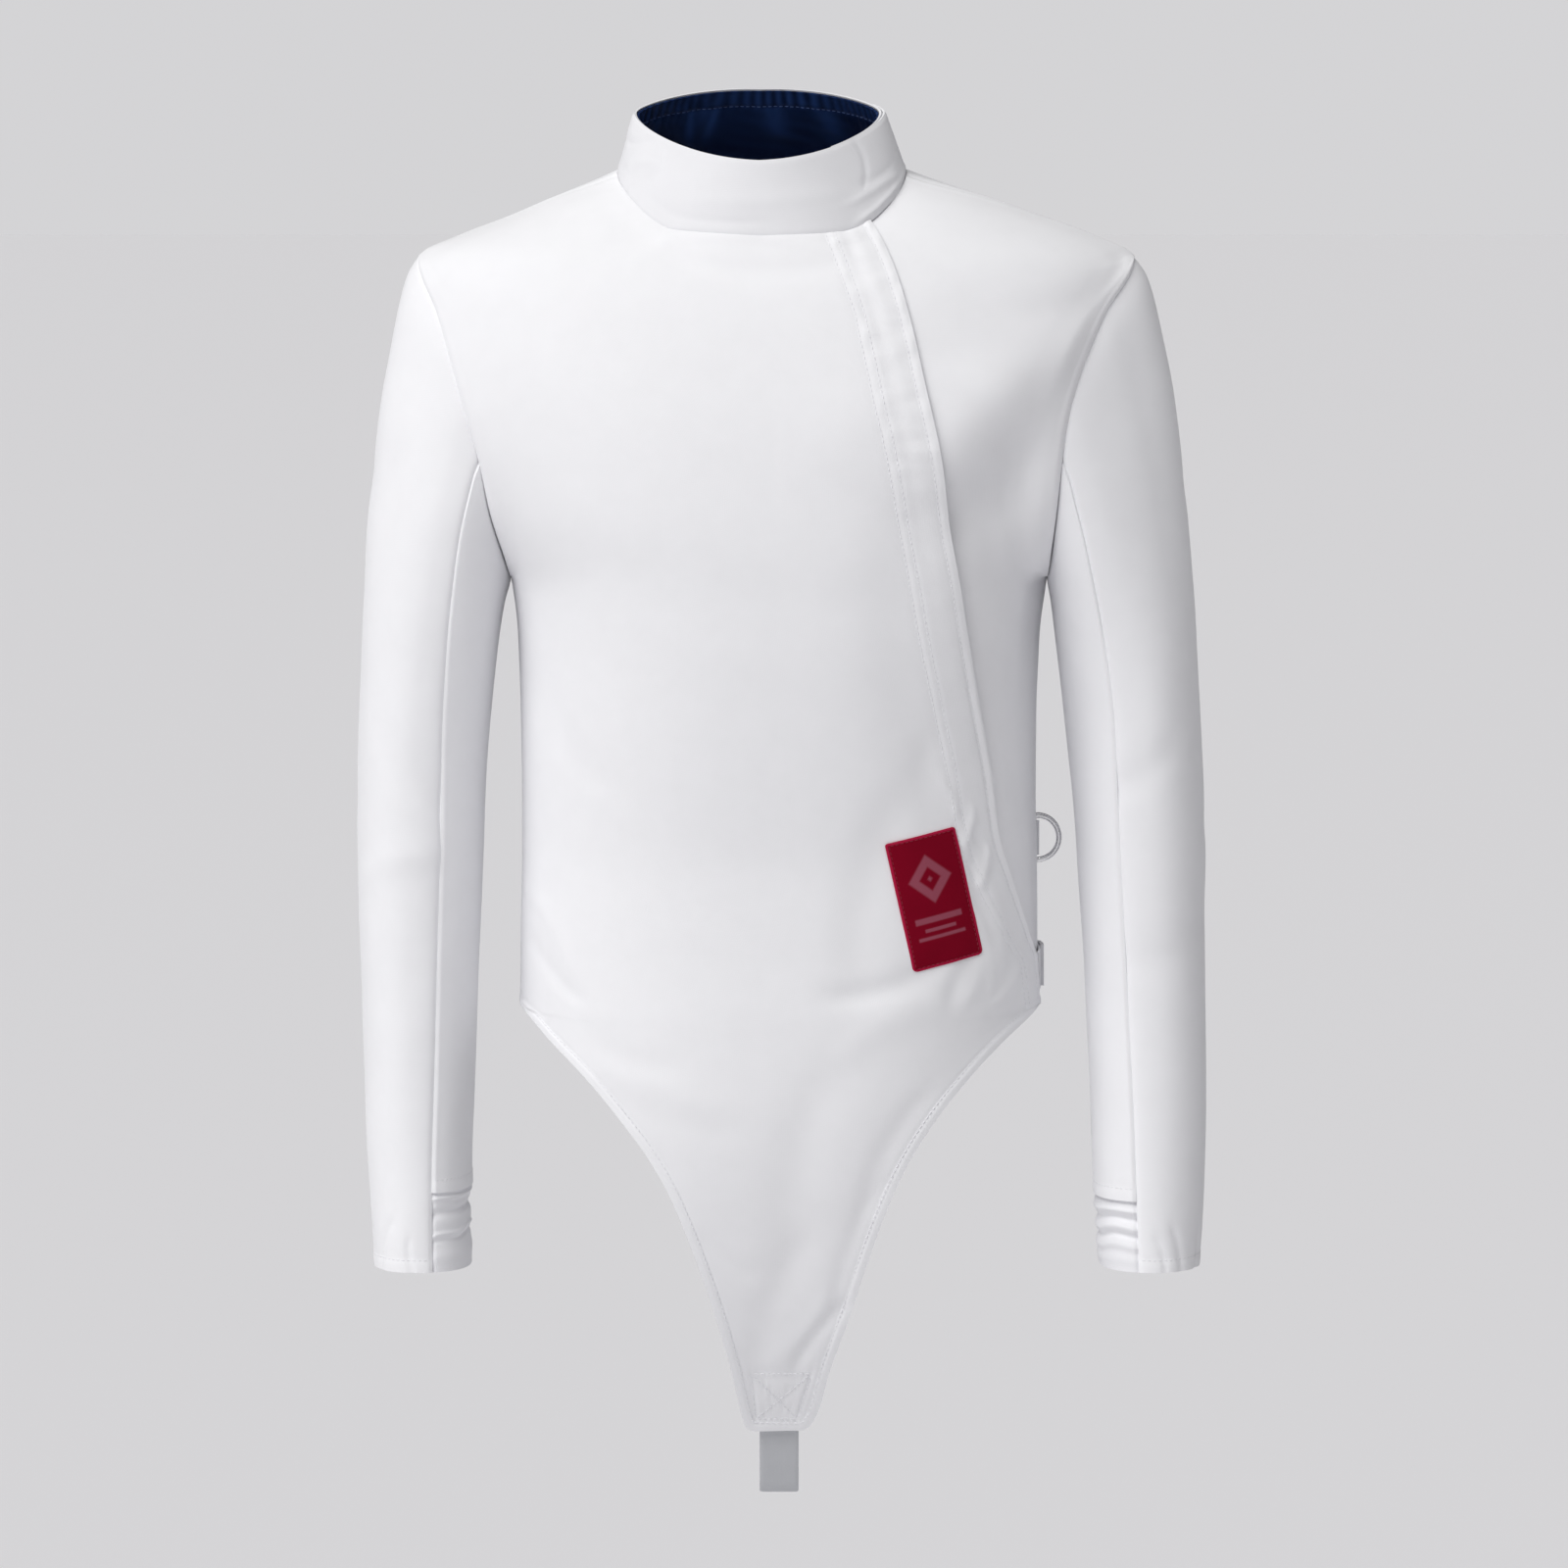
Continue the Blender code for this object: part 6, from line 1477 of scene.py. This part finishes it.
def sun(name, towards, strength, softness, colour):
    """Sun lamp that shines along a direction, as wide as its softness in degrees."""
    light = bpy.data.lights.new(name, "SUN")
    light.energy = strength
    light.angle = math.radians(softness)
    light.color = colour
    lamp = bpy.data.objects.new(name, light)
    forward = -unit(np.array(towards, dtype=float))
    right = unit(np.cross([0.0, 0.0, 1.0], forward))
    above = np.cross(forward, right)
    turn = np.eye(4)
    turn[:3, 0], turn[:3, 1], turn[:3, 2] = right, above, forward
    lamp.matrix_world = turn.T.tolist()
    bpy.context.scene.collection.objects.link(lamp)


sun("key_light", (0.412, 0.457, -0.788), KEY_STRENGTH, KEY_SOFTNESS, (1.0, 0.997, 0.985))

world = bpy.data.worlds.new("surround")
world.use_nodes = True
world_tree = world.node_tree
towards = world_tree.nodes.new("ShaderNodeTexCoord")
parts = world_tree.nodes.new("ShaderNodeSeparateXYZ")
dimming = world_tree.nodes.new("ShaderNodeMapRange")
dimming.interpolation_type = "SMOOTHSTEP"
dimming.inputs["From Min"].default_value = HORIZON_BAND
dimming.inputs["From Max"].default_value = HORIZON_BAND * 2
dimming.inputs["To Min"].default_value = HORIZON_GLOW
dimming.inputs["To Max"].default_value = SKY_GLOW
backdrop = world_tree.nodes["Background"]
backdrop.inputs["Color"].default_value = (0.985, 0.98, 1.0, 1.0)
world_tree.links.new(towards.outputs["Generated"], parts.inputs["Vector"])
world_tree.links.new(parts.outputs["Z"], dimming.inputs["Value"])
world_tree.links.new(dimming.outputs["Result"], backdrop.inputs["Strength"])
bpy.context.scene.world = world
bpy.context.scene.view_settings.view_transform = "Standard"

view = bpy.data.cameras.new("photo_camera")
view.sensor_width = SENSOR
view.lens = CAMERA_DISTANCE / METRES_PER_PIXEL * SENSOR / PHOTO_WIDTH
view.clip_end = 200.0
camera = bpy.data.objects.new("photo_camera", view)
camera.location = (CAMERA_TARGET[0], -CAMERA_DISTANCE * math.cos(CAMERA_ELEVATION),
                   CAMERA_TARGET[2] + CAMERA_DISTANCE * math.sin(CAMERA_ELEVATION))
camera.rotation_euler = (math.pi / 2 - CAMERA_ELEVATION, 0.0, 0.0)
bpy.context.scene.collection.objects.link(camera)
bpy.context.scene.camera = camera
